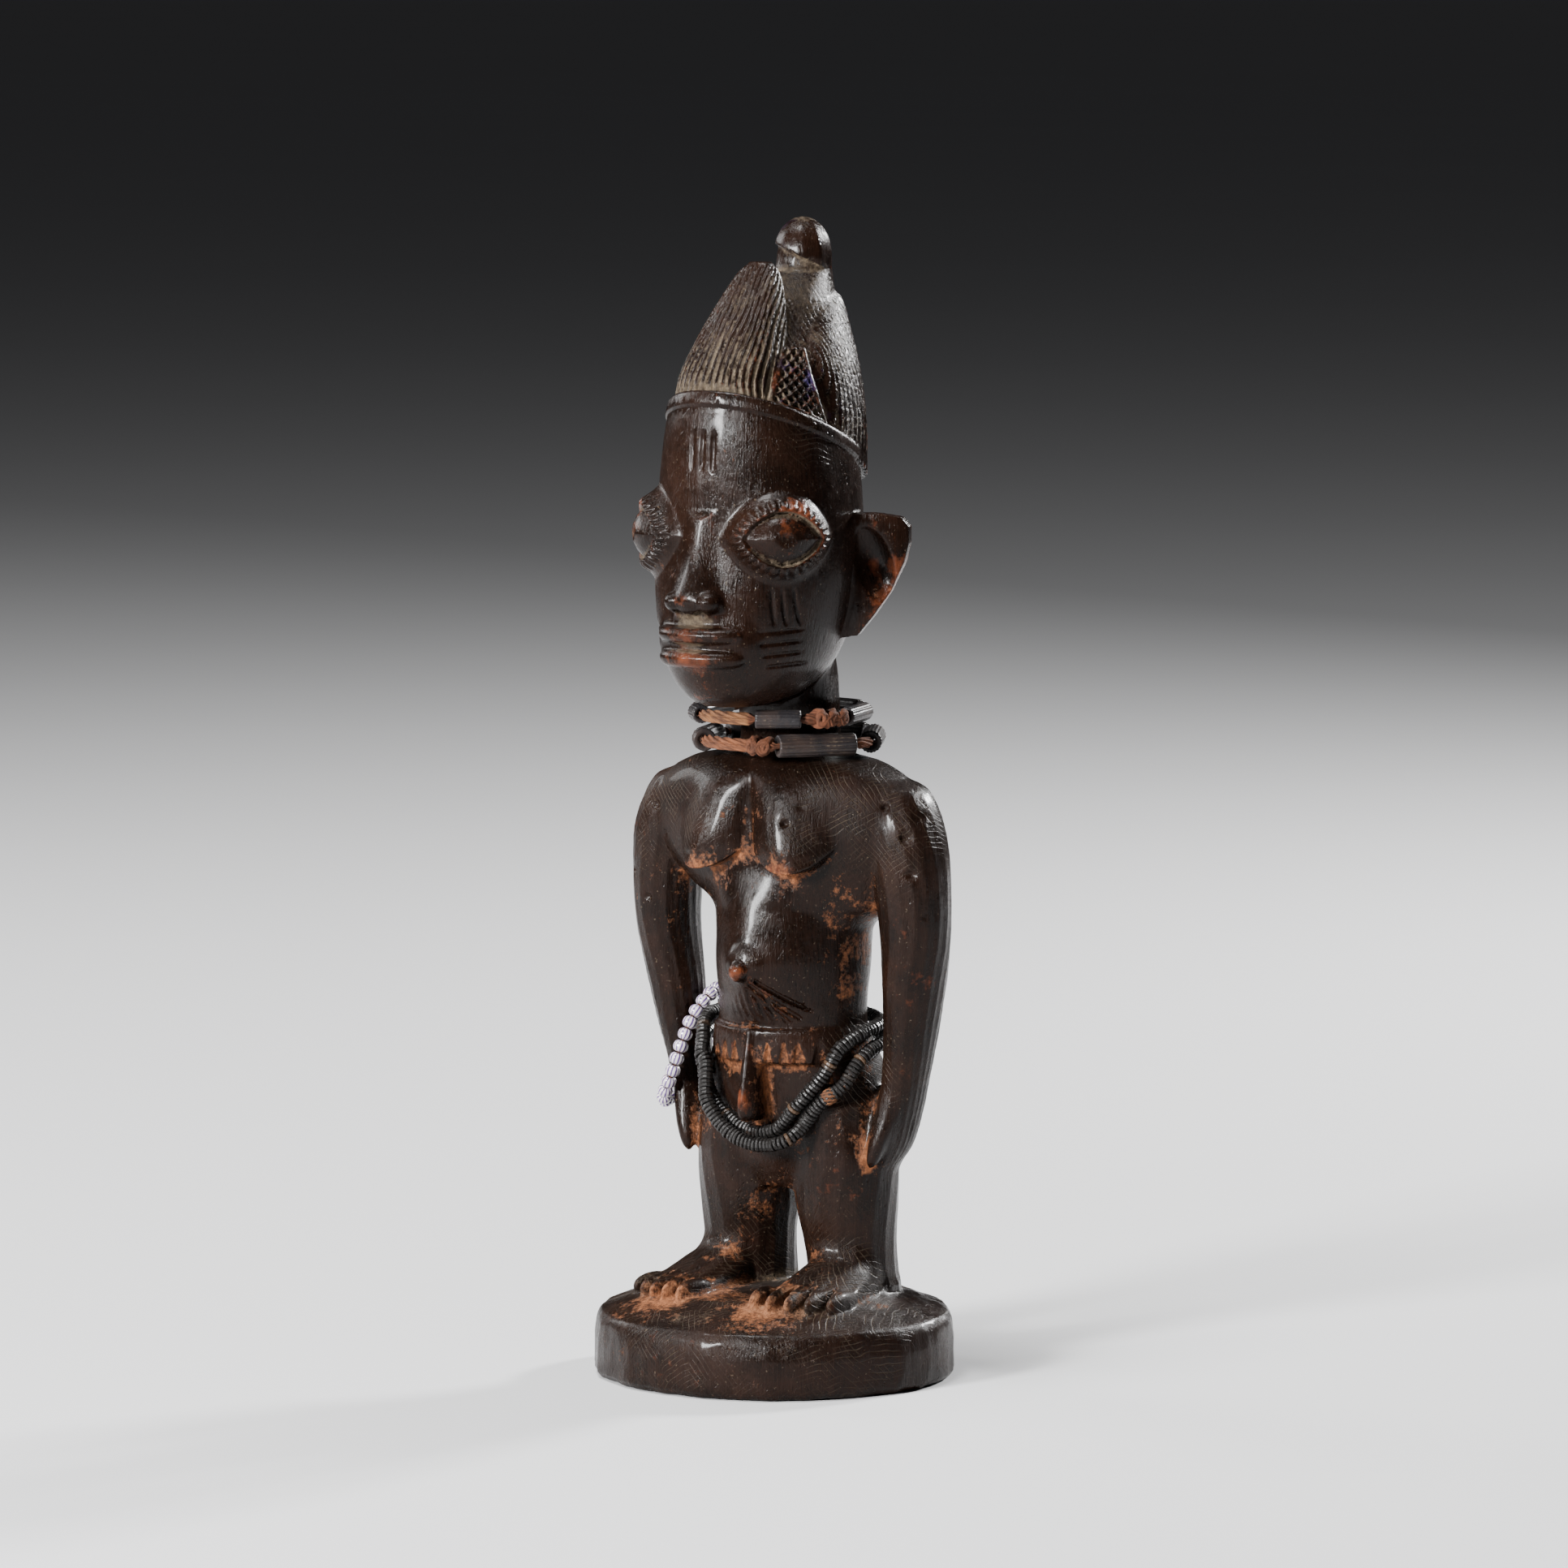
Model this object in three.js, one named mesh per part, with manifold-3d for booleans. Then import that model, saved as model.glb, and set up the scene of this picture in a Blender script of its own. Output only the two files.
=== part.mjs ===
// A carved wooden twin figure on its own round plinth, with strands of beads round its neck,
// its hips and its right wrist.
// Millimetres, +Z up. The figure faces -Y, its left hand is on +X, and the origin is the middle
// of the plinth's underside.
import * as THREE from "three";
import Module from "manifold-3d";
import { mergeVertices } from "three/addons/utils/BufferGeometryUtils.js";

const wasm = await Module();
wasm.setup();

// Driving sizes of the carving.
const PLINTH_RADIUS = 45;
const PLINTH_HEIGHT = 16;
const PLINTH_BEVEL = 2.2;
const PLINTH_CROWN = 5;
const FIGURE_HEIGHT = 264;
const HAIR_RIDGE_DEPTH = 0.8;
const PANEL_RISE = 1.1;
const LATTICE_DEPTH = 1.2;
const MARK_WIDTH = 1.2;
const MARK_DEPTH = 0.7;

// Driving sizes of the strands.
const CLEARANCE = 0.3;
const NECK_TUBE_RADIUS = 2.85;
const CHOKER_TUBE_RADIUS = 2.3;
const TUBE_BORE_RADIUS = 1.2;
const NECK_CORD_RADIUS = 1.6;
const NECK_KNOT_RADIUS = 2.5;
const DISC_BEAD_RADIUS = 1.95;
const GLASS_BEAD_RADIUS = 1.9;
const GLASS_BEAD_LENGTH = 2.5;
const GLASS_BORE_RADIUS = 0.9;

// The carving's free forms are given in 264ths of the figure's height above its soles.
const SHARE = FIGURE_HEIGHT / 264;
const TURN = 2 * Math.PI;

// Stations of a form: height above the soles, the middle's place to the side and to the back,
// half the width, and the reach to the front and to the back.
const station = (height, side, middle, wide, front, back) => ({ height, side, middle, wide, front, back });

const TRUNK = [
  station(29, 0, 10.5, 15, 10, 12),
  station(38, 0, 10.5, 23.5, 14, 15),
  station(48, 0, 10, 25.5, 16, 18),
  station(58, 0, 9.5, 23.5, 16.5, 18),
  station(68, 0.3, 8.5, 19.6, 17, 14),
  station(76, 0.9, 7.5, 19.4, 21.5, 13.8),
  station(84, 1.2, 7.3, 20, 23.2, 14.6),
  station(92, 1.2, 7.3, 20.2, 22.3, 15.4),
  station(100, 1, 7.3, 21.2, 20.6, 15.2),
  station(108, 0.5, 7.3, 23.5, 18.6, 14.5),
  station(116, 0, 7.3, 24, 18, 14),
  station(124, 0, 7.3, 22, 14.5, 12.5),
  station(131, 0, 7.3, 13, 12, 12),
];

const APRON = [
  station(60.5, 0, 8.5, 19.2, 18.2, 4),
  station(61.5, 0, 8.5, 20.2, 19.4, 4),
  station(68.5, 0, 8.5, 19.6, 19.4, 4),
  station(69.5, 0, 8.5, 18.6, 18, 4),
];

const YOKE = [
  station(92, 1.6, 8, 17, 11, 14),
  station(98, 3, 7.5, 24.5, 13, 14.4),
  station(104, 0.8, 7.4, 30, 15, 14.2),
  station(113.5, 0, 7.3, 37, 17.4, 14),
  station(124, 0, 7.2, 37.5, 18, 13),
  station(130, 0, 7.2, 32.5, 17.5, 12.5),
  station(133.4, 0, 7.2, 25.5, 15, 11.5),
  station(135, 0, 7.2, 17, 12, 10.5),
];

const ARM = [
  station(130.5, 27.5, 7.3, 4, 5, 5),
  station(127, 30, 7.2, 8.6, 8.5, 8.5),
  station(117, 33.3, 7, 10, 10.2, 9.8),
  station(105, 35.1, 7.3, 9.4, 9.8, 9.4),
  station(92, 35.7, 7.8, 8.5, 9, 8.8),
  station(80, 34.6, 8.8, 7.6, 8.4, 8.4),
  station(68, 33.2, 9.6, 6.4, 7.6, 7.8),
  station(57, 31.2, 10.2, 5.4, 6.8, 7.6),
  station(50, 29.6, 10.4, 5, 7.8, 8.2),
  station(42, 27.4, 10.6, 4.6, 8.4, 8),
  station(35, 24.4, 11, 3.6, 6.4, 6.8),
  station(31.5, 23, 11.2, 2, 3.4, 4.4),
];

// The right arm is carved a little slimmer than the left, on its inner side.
const SLIMMER = 0.1;
const RIGHT_ARM = ARM.map((row) => ({
  ...row,
  side: row.side + SLIMMER * row.wide,
  wide: (1 - SLIMMER) * row.wide,
}));

const LEG = [
  station(3, 15, 12.5, 11, 9.8, 13),
  station(9, 14.8, 11.8, 11, 10.4, 12.2),
  station(17, 14.6, 11, 11.4, 11.6, 11.9),
  station(26, 14, 10.6, 12.5, 12.8, 13),
  station(38, 14, 10.5, 12.4, 13.6, 13.8),
  station(50, 12.5, 10, 11.5, 13, 14),
];

const NECK = [
  station(126, 0, 7.4, 17.5, 16, 15),
  station(131, 0, 7.4, 14.6, 14, 13.4),
  station(138, 0, 7.2, 12.4, 12.4, 12.2),
  station(146, 0, 6.6, 12.4, 12.6, 12.2),
  station(156, 0, 4.6, 12.6, 12, 12.8),
  station(167, 0, 2, 11.4, 10, 12.4),
];

// The head's rings begin level at the chin and lean more and more towards the hairline, which is
// high in front and low behind.
const HEAD = [
  { ...station(148, 0, -14, 7.5, 11.5, 12), lean: 0 },
  { ...station(151, 0, -12.5, 13, 18, 18), lean: 0 },
  { ...station(158, 0, -9.8, 18.6, 24, 22.5), lean: 0 },
  { ...station(168, 0, -8, 22.3, 26, 25.5), lean: 0 },
  { ...station(178, 0, -7.5, 24, 25.6, 27), lean: 0 },
  { ...station(188, 0, -7, 24.3, 24.6, 27.5), lean: 0.05 },
  { ...station(197, 0, -6.4, 23.9, 24.8, 27.2), lean: 0.17 },
  { ...station(206, 0, -5.2, 23, 25, 26), lean: 0.36 },
  { ...station(213.6, 0, -4, 22, 24.4, 24.4), lean: 0.43 },
];

// The hair's core stands back from the hairline. Its rings lean as the head's do.
const HAIR = [
  { ...station(209.5, 0, -3.8, 20.2, 21.4, 23), lean: 0.43 },
  { ...station(214, 0, -3.4, 19.6, 20.8, 22.4), lean: 0.43 },
  { ...station(222, 0, -2, 18, 18.4, 21.4), lean: 0.33 },
  { ...station(232, 0, 0.8, 14.6, 14.8, 19.2), lean: 0.22 },
  { ...station(241, 0, 4.6, 10.8, 11, 15.6), lean: 0.1 },
  { ...station(247, 0, 8.6, 8.6, 8.6, 11.4), lean: 0.04 },
  { ...station(251, 0, 12, 7, 7, 8), lean: 0 },
];

// The two fluted lobes of the hair, in front of and behind the smooth valley on each side.
const FRONT_LOBE = [
  { ...station(214, -1.4, -14, 13.9, 12.8, 4), lean: 0.43 },
  { ...station(224, -1.3, -13.4, 13.2, 11.8, 4), lean: 0.3 },
  { ...station(234, -1, -11.2, 11.2, 8.8, 4), lean: 0.2 },
  { ...station(243.3, -0.6, -8.2, 8.8, 5.8, 3.4), lean: 0.1 },
  { ...station(250.6, -0.3, -6.2, 5.6, 3.4, 3), lean: 0.03 },
  { ...station(253.8, 0, -5.8, 2.6, 1.8, 1.8), lean: 0 },
];

const REAR_LOBE = [
  { ...station(208, 0, -0.5, 21.8, 9, 21), lean: 0.43 },
  { ...station(219, 0, 1.4, 20.4, 10, 20.4), lean: 0.3 },
  { ...station(229, 0, 3.6, 17.6, 13.5, 18.8), lean: 0.2 },
  { ...station(238, 0, 6.2, 13.4, 9, 16.2), lean: 0.1 },
  { ...station(244.5, 0, 9.4, 9.4, 5, 12.2), lean: 0 },
  { ...station(247.5, 0, 11.5, 5, 4, 7), lean: 0 },
];

// The face by thirds, from the chin to the hairline.
const CHIN = 148;
const HAIRLINE = 219;
const FACE = HAIRLINE - CHIN;
const EYE_HEIGHT = CHIN + 0.58 * FACE;
const NOSE_FOOT = CHIN + FACE / 3;
const NOSE_ROOT = CHIN + 0.64 * FACE;
const MOUTH_HEIGHT = CHIN + 0.215 * FACE;
const EYE_TURN = THREE.MathUtils.degToRad(47);

// Reads stations as one smooth curve. Share 0 is the first station and share 1 the last.
function smooth(stations) {
  const names = Object.keys(stations[0]);
  const value = (row, name) => (name === "lean" ? row[name] : row[name] * SHARE);
  const curve = new THREE.CubicInterpolant(
    stations.map((row, i) => i / (stations.length - 1)),
    stations.flatMap((row) => names.map((name) => value(row, name))),
    names.length,
  );
  return (share) => {
    const read = curve.evaluate(THREE.MathUtils.clamp(share, 0, 1));
    return Object.fromEntries(names.map((name, i) => [name, read[i]]));
  };
}

// The distance from a ring's middle to its oval edge, towards an angle.
function ovalReach(ring, angle, power) {
  const deep = Math.sin(angle) < 0 ? ring.front : ring.back;
  const across = Math.abs(Math.cos(angle) / ring.wide) ** power;
  return (across + Math.abs(Math.sin(angle) / deep) ** power) ** (-1 / power);
}

// A form's ring at a height above the soles, found by halving along its stations.
function ringAt(stations, height) {
  const curve = smooth(stations);
  const rising = stations.at(-1).height > stations[0].height;
  let [low, high] = [0, 1];
  for (let i = 0; i < 20; i++) {
    const half = (low + high) / 2;
    if (curve(half).height < height === rising) low = half;
    else high = half;
  }
  return curve(low);
}

// One closed skin from rows of points, with a pole at each end: place(share, angle) is a point.
function skin(rows, sides, place) {
  const points = [];
  for (let row = 0; row <= rows; row++)
    for (let side = 0; side < sides; side++) points.push(place(row / rows, (TURN * side) / sides));
  const middleOf = (row) => {
    const ring = points.slice(row * sides, (row + 1) * sides);
    return ring.reduce((sum, p) => sum.add(p), new THREE.Vector3()).divideScalar(sides);
  };
  const poles = [middleOf(0), middleOf(rows)];
  const [foot, head] = [points.length, points.length + 1];
  const faces = [];
  for (let side = 0; side < sides; side++) {
    const next = (side + 1) % sides;
    faces.push(foot, next, side);
    faces.push(head, rows * sides + side, rows * sides + next);
    for (let row = 0; row < rows; row++) {
      const [a, b] = [row * sides + side, row * sides + next];
      faces.push(a, b, a + sides, b, b + sides, a + sides);
    }
  }
  return facingOut(geometryFrom([...points, ...poles], faces));
}

// One closed ring-shaped skin: place(share round the loop, angle round its section) is a point.
function loopSkin(steps, sides, place) {
  const points = [];
  const faces = [];
  for (let step = 0; step < steps; step++) {
    for (let side = 0; side < sides; side++) {
      points.push(place(step / steps, (TURN * side) / sides));
      const [next, over] = [(step + 1) % steps, (side + 1) % sides];
      const [a, b] = [step * sides + side, step * sides + over];
      const [c, d] = [next * sides + side, next * sides + over];
      faces.push(a, b, c, b, d, c);
    }
  }
  return facingOut(geometryFrom(points, faces));
}

function geometryFrom(points, faces) {
  const geometry = new THREE.BufferGeometry().setFromPoints(points);
  geometry.setIndex(faces);
  return geometry;
}

// The volume inside a skin, negative where its faces point inwards.
function volumeOf(geometry) {
  const place = geometry.getAttribute("position");
  const corner = (i) => new THREE.Vector3().fromBufferAttribute(place, geometry.index.getX(i));
  let sum = 0;
  for (let i = 0; i < geometry.index.count; i += 3)
    sum += corner(i).dot(corner(i + 1).cross(corner(i + 2))) / 6;
  return sum;
}

function turnedRound(geometry) {
  const index = geometry.index.array;
  for (let i = 0; i < index.length; i += 3) [index[i + 1], index[i + 2]] = [index[i + 2], index[i + 1]];
  return geometry;
}

const facingOut = (geometry) => (volumeOf(geometry) < 0 ? turnedRound(geometry) : geometry);

const mirrored = (geometry) => turnedRound(geometry.clone().scale(-1, 1, 1));

const bothSides = (geometry) => [geometry, mirrored(geometry)];

// A closed mesh as a solid that can be joined and cut.
function solid(geometry) {
  const bare = new THREE.BufferGeometry().setAttribute("position", geometry.getAttribute("position"));
  bare.setIndex(geometry.index);
  const merged = mergeVertices(bare);
  const triVerts = new Uint32Array(merged.index.array);
  const vertProperties = merged.getAttribute("position").array;
  return new wasm.Manifold(new wasm.Mesh({ numProp: 3, vertProperties, triVerts }));
}

const joined = (geometries) => geometries.map(solid).reduce((whole, piece) => whole.add(piece));

const cutBy = (whole, geometries) => geometries.map(solid).reduce((rest, tool) => rest.subtract(tool), whole);

// Where joined forms close off a pocket between them, the pocket is filled.
function withoutPockets(whole) {
  return whole.decompose().reduce((largest, shell) => (shell.volume() > largest.volume() ? shell : largest));
}

function geometryOf(manifold) {
  const mesh = manifold.getMesh();
  const geometry = new THREE.BufferGeometry();
  geometry.setAttribute("position", new THREE.BufferAttribute(mesh.vertProperties, 3));
  geometry.setIndex(new THREE.BufferAttribute(mesh.triVerts, 1));
  return geometry;
}

// A free form of oval rings, level or leaning.
function column(stations, { rows, sides, power = 2 }) {
  const curve = smooth(stations);
  return skin(rows, sides, (share, angle) => {
    const ring = curve(share);
    const bend = typeof power === "function" ? power(ring.height, angle) : power;
    const reach = ovalReach(ring, angle, bend);
    const back = reach * Math.sin(angle);
    const x = ring.side + reach * Math.cos(angle);
    return new THREE.Vector3(x, ring.middle + back, ring.height - (ring.lean ?? 0) * back);
  });
}

// The front of the head: its depth at a place to the side and a height. A leaning ring meets the
// front higher than its own height.
function headFront(x, height) {
  let ring = ringAt(HEAD, height);
  for (let i = 0; i < 6; i++) ring = ringAt(HEAD, height - ring.lean * ring.front);
  return ring.middle - ring.front * Math.sqrt(Math.max(0, 1 - (x / ring.wide) ** 2));
}

// A ball squashed to three half sizes, in the carving's shares.
function lump([x, y, z], [across, deep, tall], sides = 10) {
  const ball = new THREE.SphereGeometry(SHARE, sides, Math.round(sides * 0.7));
  return facingOut(withIndex(ball.scale(across, deep, tall).translate(x * SHARE, y * SHARE, z * SHARE)));
}

function withIndex(geometry) {
  const bare = new THREE.BufferGeometry().setAttribute("position", geometry.getAttribute("position"));
  bare.setIndex(geometry.index);
  return mergeVertices(bare);
}

// A shallow pointed gouge cut from one point to another, as wide as said and as deep into the
// surface, which faces along out.
function gouge(from, to, out, wide = MARK_WIDTH, deep = MARK_DEPTH) {
  const along = to.clone().sub(from);
  const across = new THREE.Vector3().crossVectors(along, out).normalize().multiplyScalar(wide / 2);
  const lift = out.clone().multiplyScalar(deep * 1.5);
  const middle = from.clone().add(to).multiplyScalar(0.5);
  const bottom = middle.clone().addScaledVector(out, -deep);
  const corners = [from, middle.clone().add(across), to, middle.clone().sub(across)];
  const points = [...corners.map((p) => p.clone().add(lift)), ...corners, bottom];
  const faces = [];
  for (let i = 0; i < 4; i++) {
    const j = (i + 1) % 4;
    faces.push(i, j, 4 + i, j, 4 + j, 4 + i, 4 + i, 4 + j, 8);
  }
  faces.push(0, 2, 1, 0, 3, 2);
  return facingOut(geometryFrom(points, faces));
}

// The plinth: a hand-cut disc with a blunt upper edge, its top rising to the feet.
function plinth() {
  const outline = (angle) => 1 - 0.012 * (1 - Math.cos(2 * angle)) - 0.004 * (1 - Math.cos(6 * angle));
  const profile = [
    [0.97 * PLINTH_RADIUS, 0],
    [PLINTH_RADIUS, 0.1 * PLINTH_HEIGHT],
    [PLINTH_RADIUS, 0.6 * PLINTH_HEIGHT],
    [PLINTH_RADIUS - 0.3 * PLINTH_BEVEL, PLINTH_HEIGHT - PLINTH_BEVEL],
    [PLINTH_RADIUS - PLINTH_BEVEL, PLINTH_HEIGHT],
    [0.8 * PLINTH_RADIUS, PLINTH_HEIGHT + 0.5 * PLINTH_CROWN],
    [0.58 * PLINTH_RADIUS, PLINTH_HEIGHT + 0.92 * PLINTH_CROWN],
    [0.25 * PLINTH_RADIUS, PLINTH_HEIGHT + PLINTH_CROWN],
  ];
  return skin(profile.length - 1, 24, (share, angle) => {
    const [wide, high] = profile[Math.round(share * (profile.length - 1))];
    const reach = wide * outline(angle);
    return new THREE.Vector3(reach * Math.cos(angle), reach * Math.sin(angle), high);
  });
}

// The feet point forwards and a little outwards from under the ankles, on the plinth's crown.
const FOOT = {
  heel: [15.6, 22],
  length: 49,
  splay: THREE.MathUtils.degToRad(5),
  heelWide: 7.6,
  toeWide: 11.2,
  high: 7.8,
};

// A point of the left foot: along from the heel, across to the outside, and up from the sole.
function footPoint(along, across, high) {
  const { heel, splay } = FOOT;
  const x = heel[0] + along * Math.sin(splay) + across * Math.cos(splay);
  const y = heel[1] - along * Math.cos(splay) + across * Math.sin(splay);
  return new THREE.Vector3(x * SHARE, y * SHARE, PLINTH_CROWN + (high - 1.2) * SHARE);
}

// How far the foot reaches along at a place across: the big toe is the longest.
function toeLine(across) {
  const out = across / FOOT.toeWide;
  return FOOT.length - 4 - 3.4 * out ** 2 - 3.6 * out;
}

function foot() {
  return skin(4, 10, (share, angle) => {
    const wide = THREE.MathUtils.lerp(FOOT.heelWide, FOOT.toeWide, share) * (share === 0 ? 0.7 : 1);
    const across = wide * Math.cos(angle);
    const high = FOOT.high * (1.5 - 1.02 * share);
    const rise = Math.sin(angle) > 0 ? high * Math.sin(angle) ** 0.7 : 4 * Math.sin(angle);
    return footPoint(2 + (toeLine(across) - 6) * share, across, rise);
  });
}

// Five toes side by side. The big toe is on the inner side and reaches furthest.
function toes() {
  const pitch = (2 * FOOT.toeWide) / 5;
  return [0, 1, 2, 3, 4].map((i) => {
    const across = pitch * (i - 2);
    const wide = pitch * (i === 0 ? 0.5 : 0.42);
    return skin(1, 6, (share, angle) => {
      const rise = (4.4 - 2 * share) * Math.max(Math.sin(angle), -0.6);
      const side = wide * (1 - 0.2 * share) * Math.cos(angle);
      return footPoint(toeLine(across) - 9 + 11 * share, across + side, rise);
    });
  });
}

// A breast: a long wedge that slopes out from the collar and is cut back flat below its tip.
function breast() {
  const lobe = [
    station(109, 11.5, -5, 3, 5, 3),
    station(110, 11.6, -5, 6.4, 10.4, 6),
    station(113, 11.2, -4.6, 7.6, 11.2, 8),
    station(120, 10.2, -3.6, 7.4, 10.2, 9),
    station(128, 8.8, -2.4, 6.2, 8.6, 9),
    station(133, 8, -1, 4, 6, 6),
  ];
  return column(lobe, { rows: 5, sides: 8, power: 2.4 });
}

// A buttock, a low round swelling behind the hip.
const buttock = () => lump([9.5, 18.5, 50], [11, 10.5, 12], 8);

// Low, plain relief at the groin, and a navel, all carved from the same block.
function bellyRelief() {
  const navel = lump([0, -16.4, 83.5], [2.6, 2.6, 2.7], 7);
  const fork = column(
    [
      station(46.5, 0, -10, 1.7, 3.4, 6),
      station(49, 0, -10, 2.7, 5, 6),
      station(56, 0, -9.6, 2.4, 4.6, 6),
      station(63, 0, -9, 2, 3.6, 6),
    ],
    { rows: 3, sides: 7 },
  );
  return [navel, fork, column(APRON, { rows: 3, sides: 14 })];
}

// The notches that leave a row of points on the band below the belly.
function apronNotches() {
  return [-13.5, -9.5, -5.5, 5.5, 9.5, 13.5].map((x) => {
    const y = 8.5 - 19.4 * Math.sqrt(1 - (x / 20.2) ** 2);
    const at = (height) => new THREE.Vector3(x, y, height).multiplyScalar(SHARE);
    const out = new THREE.Vector3(x, y - 8.5, 0).normalize();
    return gouge(at(58.5), at(67), out, 3.2, 1.5);
  });
}

// Three cuts that part the fingers at the end of each hand.
function fingerCuts() {
  const gaps = [-3.4, 0.4, 4.2];
  return gaps.flatMap((gap) => {
    const at = (x, y, height) => new THREE.Vector3(x, y + gap, height).multiplyScalar(SHARE);
    const sideways = new THREE.Vector3(1, 0, 0);
    return bothSides(gouge(at(29.6, 11.4, 29), at(33.6, 10.2, 47), sideways, 1.5, 1.6));
  });
}

const thumb = () =>
  column(
    [
      station(35, 27.4, 0.6, 1.8, 2, 2.4),
      station(39, 28.2, 1.6, 2.7, 2.6, 3),
      station(46, 29.6, 3.6, 2.9, 2.6, 4),
      station(54, 30.6, 6.6, 2.4, 2.4, 4),
    ],
    { rows: 3, sides: 6 },
  );

// A point on the head's skin beside the eye: across and up along the surface, and out from it.
function eyePoint(across, up, out) {
  const ring = ringAt(HEAD, EYE_HEIGHT * SHARE);
  const turn = EYE_TURN + across / (25.5 * 1.15);
  const angle = turn - Math.PI / 2;
  const reach = ovalReach(ring, angle, 2) / SHARE + out;
  const middle = ring.middle / SHARE;
  const point = new THREE.Vector3(reach * Math.cos(angle), middle + reach * Math.sin(angle), EYE_HEIGHT + up);
  return point.multiplyScalar(SHARE);
}

// The eye: a bulging ball in an almond opening, and round it a rim with notches for lashes.
function eye() {
  const sides = 16;
  const profile = [
    { spread: 1.04, out: -2.5 },
    { spread: 1, out: 0.6 },
    { spread: 0.9, out: 3.3, notch: 1.5 },
    { spread: 0.7, out: 4.4, notch: 0.3 },
    { spread: 0.64, out: 2.8 },
    { spread: 0.45, out: 5.2 },
    { spread: 0.2, out: 6.6 },
  ];
  return skin(profile.length - 1, sides, (share, angle) => {
    const { spread, out, notch = 0 } = profile[Math.round(share * (profile.length - 1))];
    const lash = Math.round((angle / TURN) * sides) % 2;
    const almond = 1 - 0.3 * (1 - spread) - 0.25 * Math.cos(angle) ** 4 * (spread < 0.8 ? 1 : 0.3);
    const across = 13.4 * spread * Math.cos(angle);
    return eyePoint(across, 10.4 * spread * almond * Math.sin(angle), out - lash * notch);
  });
}

// The nose: a straight wedge with its foot cut square.
function nose() {
  const bridge = (height) => headFront(0, height * SHARE) / SHARE;
  return column(
    [
      station(NOSE_FOOT - 0.6, 0, bridge(NOSE_FOOT) + 2, 5.6, 4.6, 2),
      station(NOSE_FOOT + 1, 0, bridge(NOSE_FOOT) + 2, 6.6, 6, 2),
      station(NOSE_FOOT + 4, 0, bridge(NOSE_FOOT) + 2, 5.8, 6.2, 2),
      station(NOSE_FOOT + 11, 0, bridge(NOSE_FOOT + 11) + 2, 3.6, 4.6, 2),
      station(NOSE_ROOT, 0, bridge(NOSE_ROOT) + 2, 2.6, 2.8, 2),
    ],
    { rows: 5, sides: 8 },
  );
}

// A lip: a bar that follows the curve of the face, square at its ends.
function lip(height, tall, proud) {
  return skin(6, 5, (share, angle) => {
    const x = 11.5 * (2 * share - 1);
    const y = headFront(x * SHARE, MOUTH_HEIGHT * SHARE) / SHARE;
    const thick = share === 0 || share === 1 ? 0.7 : 1;
    const out = proud * thick * (0.25 + 0.75 * Math.sin(angle));
    return new THREE.Vector3(x, y - out, height + tall * thick * Math.cos(angle)).multiplyScalar(SHARE);
  });
}

// The step in front of the mouth that both lips stand on.
const muzzle = () => lump([0, -26.5, MOUTH_HEIGHT + 0.5], [13.5, 9, 8.5], 10);

// An ear: a half round flap that stands out from the side of the head, hollowed in front.
function ear() {
  const outline = new THREE.Shape();
  outline.moveTo(-3, 14);
  outline.lineTo(7.5, 15.2);
  outline.bezierCurveTo(12.5, 15, 12.4, 8, 11, 3.5);
  outline.bezierCurveTo(9, -3.5, 4.5, -9, 0, -14);
  outline.lineTo(-3, -13);
  const settings = { depth: 3.8, bevelThickness: 0.7, bevelSize: 0.7, bevelSegments: 1, curveSegments: 4 };
  const flap = new THREE.ExtrudeGeometry(outline, settings);
  const hollow = new THREE.SphereGeometry(1, 9, 6).scale(5.6, 9.6, 3.4).rotateZ(-0.35).translate(4.6, 3, 5.2);
  const tidy = (geometry) => facingOut(withIndex(geometry));
  const cut = geometryOf(cutBy(solid(tidy(flap)), [tidy(hollow)]));
  cut.rotateX(Math.PI / 2).rotateZ(0.42).translate(22.4, 3, EYE_HEIGHT - 10.5).scale(SHARE, SHARE, SHARE);
  return facingOut(cut);
}

// Cuts on the brow and on both cheeks.
function faceMarks() {
  const onFace = (x, height) => new THREE.Vector3(x, headFront(x * SHARE, height * SHARE) / SHARE, height);
  const outAt = (x, height) => new THREE.Vector3(x / 24, -Math.sqrt(1 - (x / 24) ** 2), 0).normalize();
  const mark = (x1, h1, x2, h2) => {
    const [from, to] = [onFace(x1, h1).multiplyScalar(SHARE), onFace(x2, h2).multiplyScalar(SHARE)];
    return gouge(from, to, outAt((x1 + x2) / 2, (h1 + h2) / 2));
  };
  const brow = [-3, 0, 3].map((x) => mark(x, HAIRLINE - 14, x, HAIRLINE - 5));
  const upright = [0, 1, 2].flatMap((i) => {
    const x = 17.2 + 1.9 * i;
    return bothSides(mark(x, EYE_HEIGHT - 12, x + 0.2, EYE_HEIGHT - 21));
  });
  const level = [0, 1, 2, 3].flatMap((i) => {
    const height = EYE_HEIGHT - 22.5 - 2.8 * i;
    return bothSides(mark(15.6, height, 21.2 - 0.5 * i, height + 0.6));
  });
  return [...brow, ...upright, ...level];
}

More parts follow.
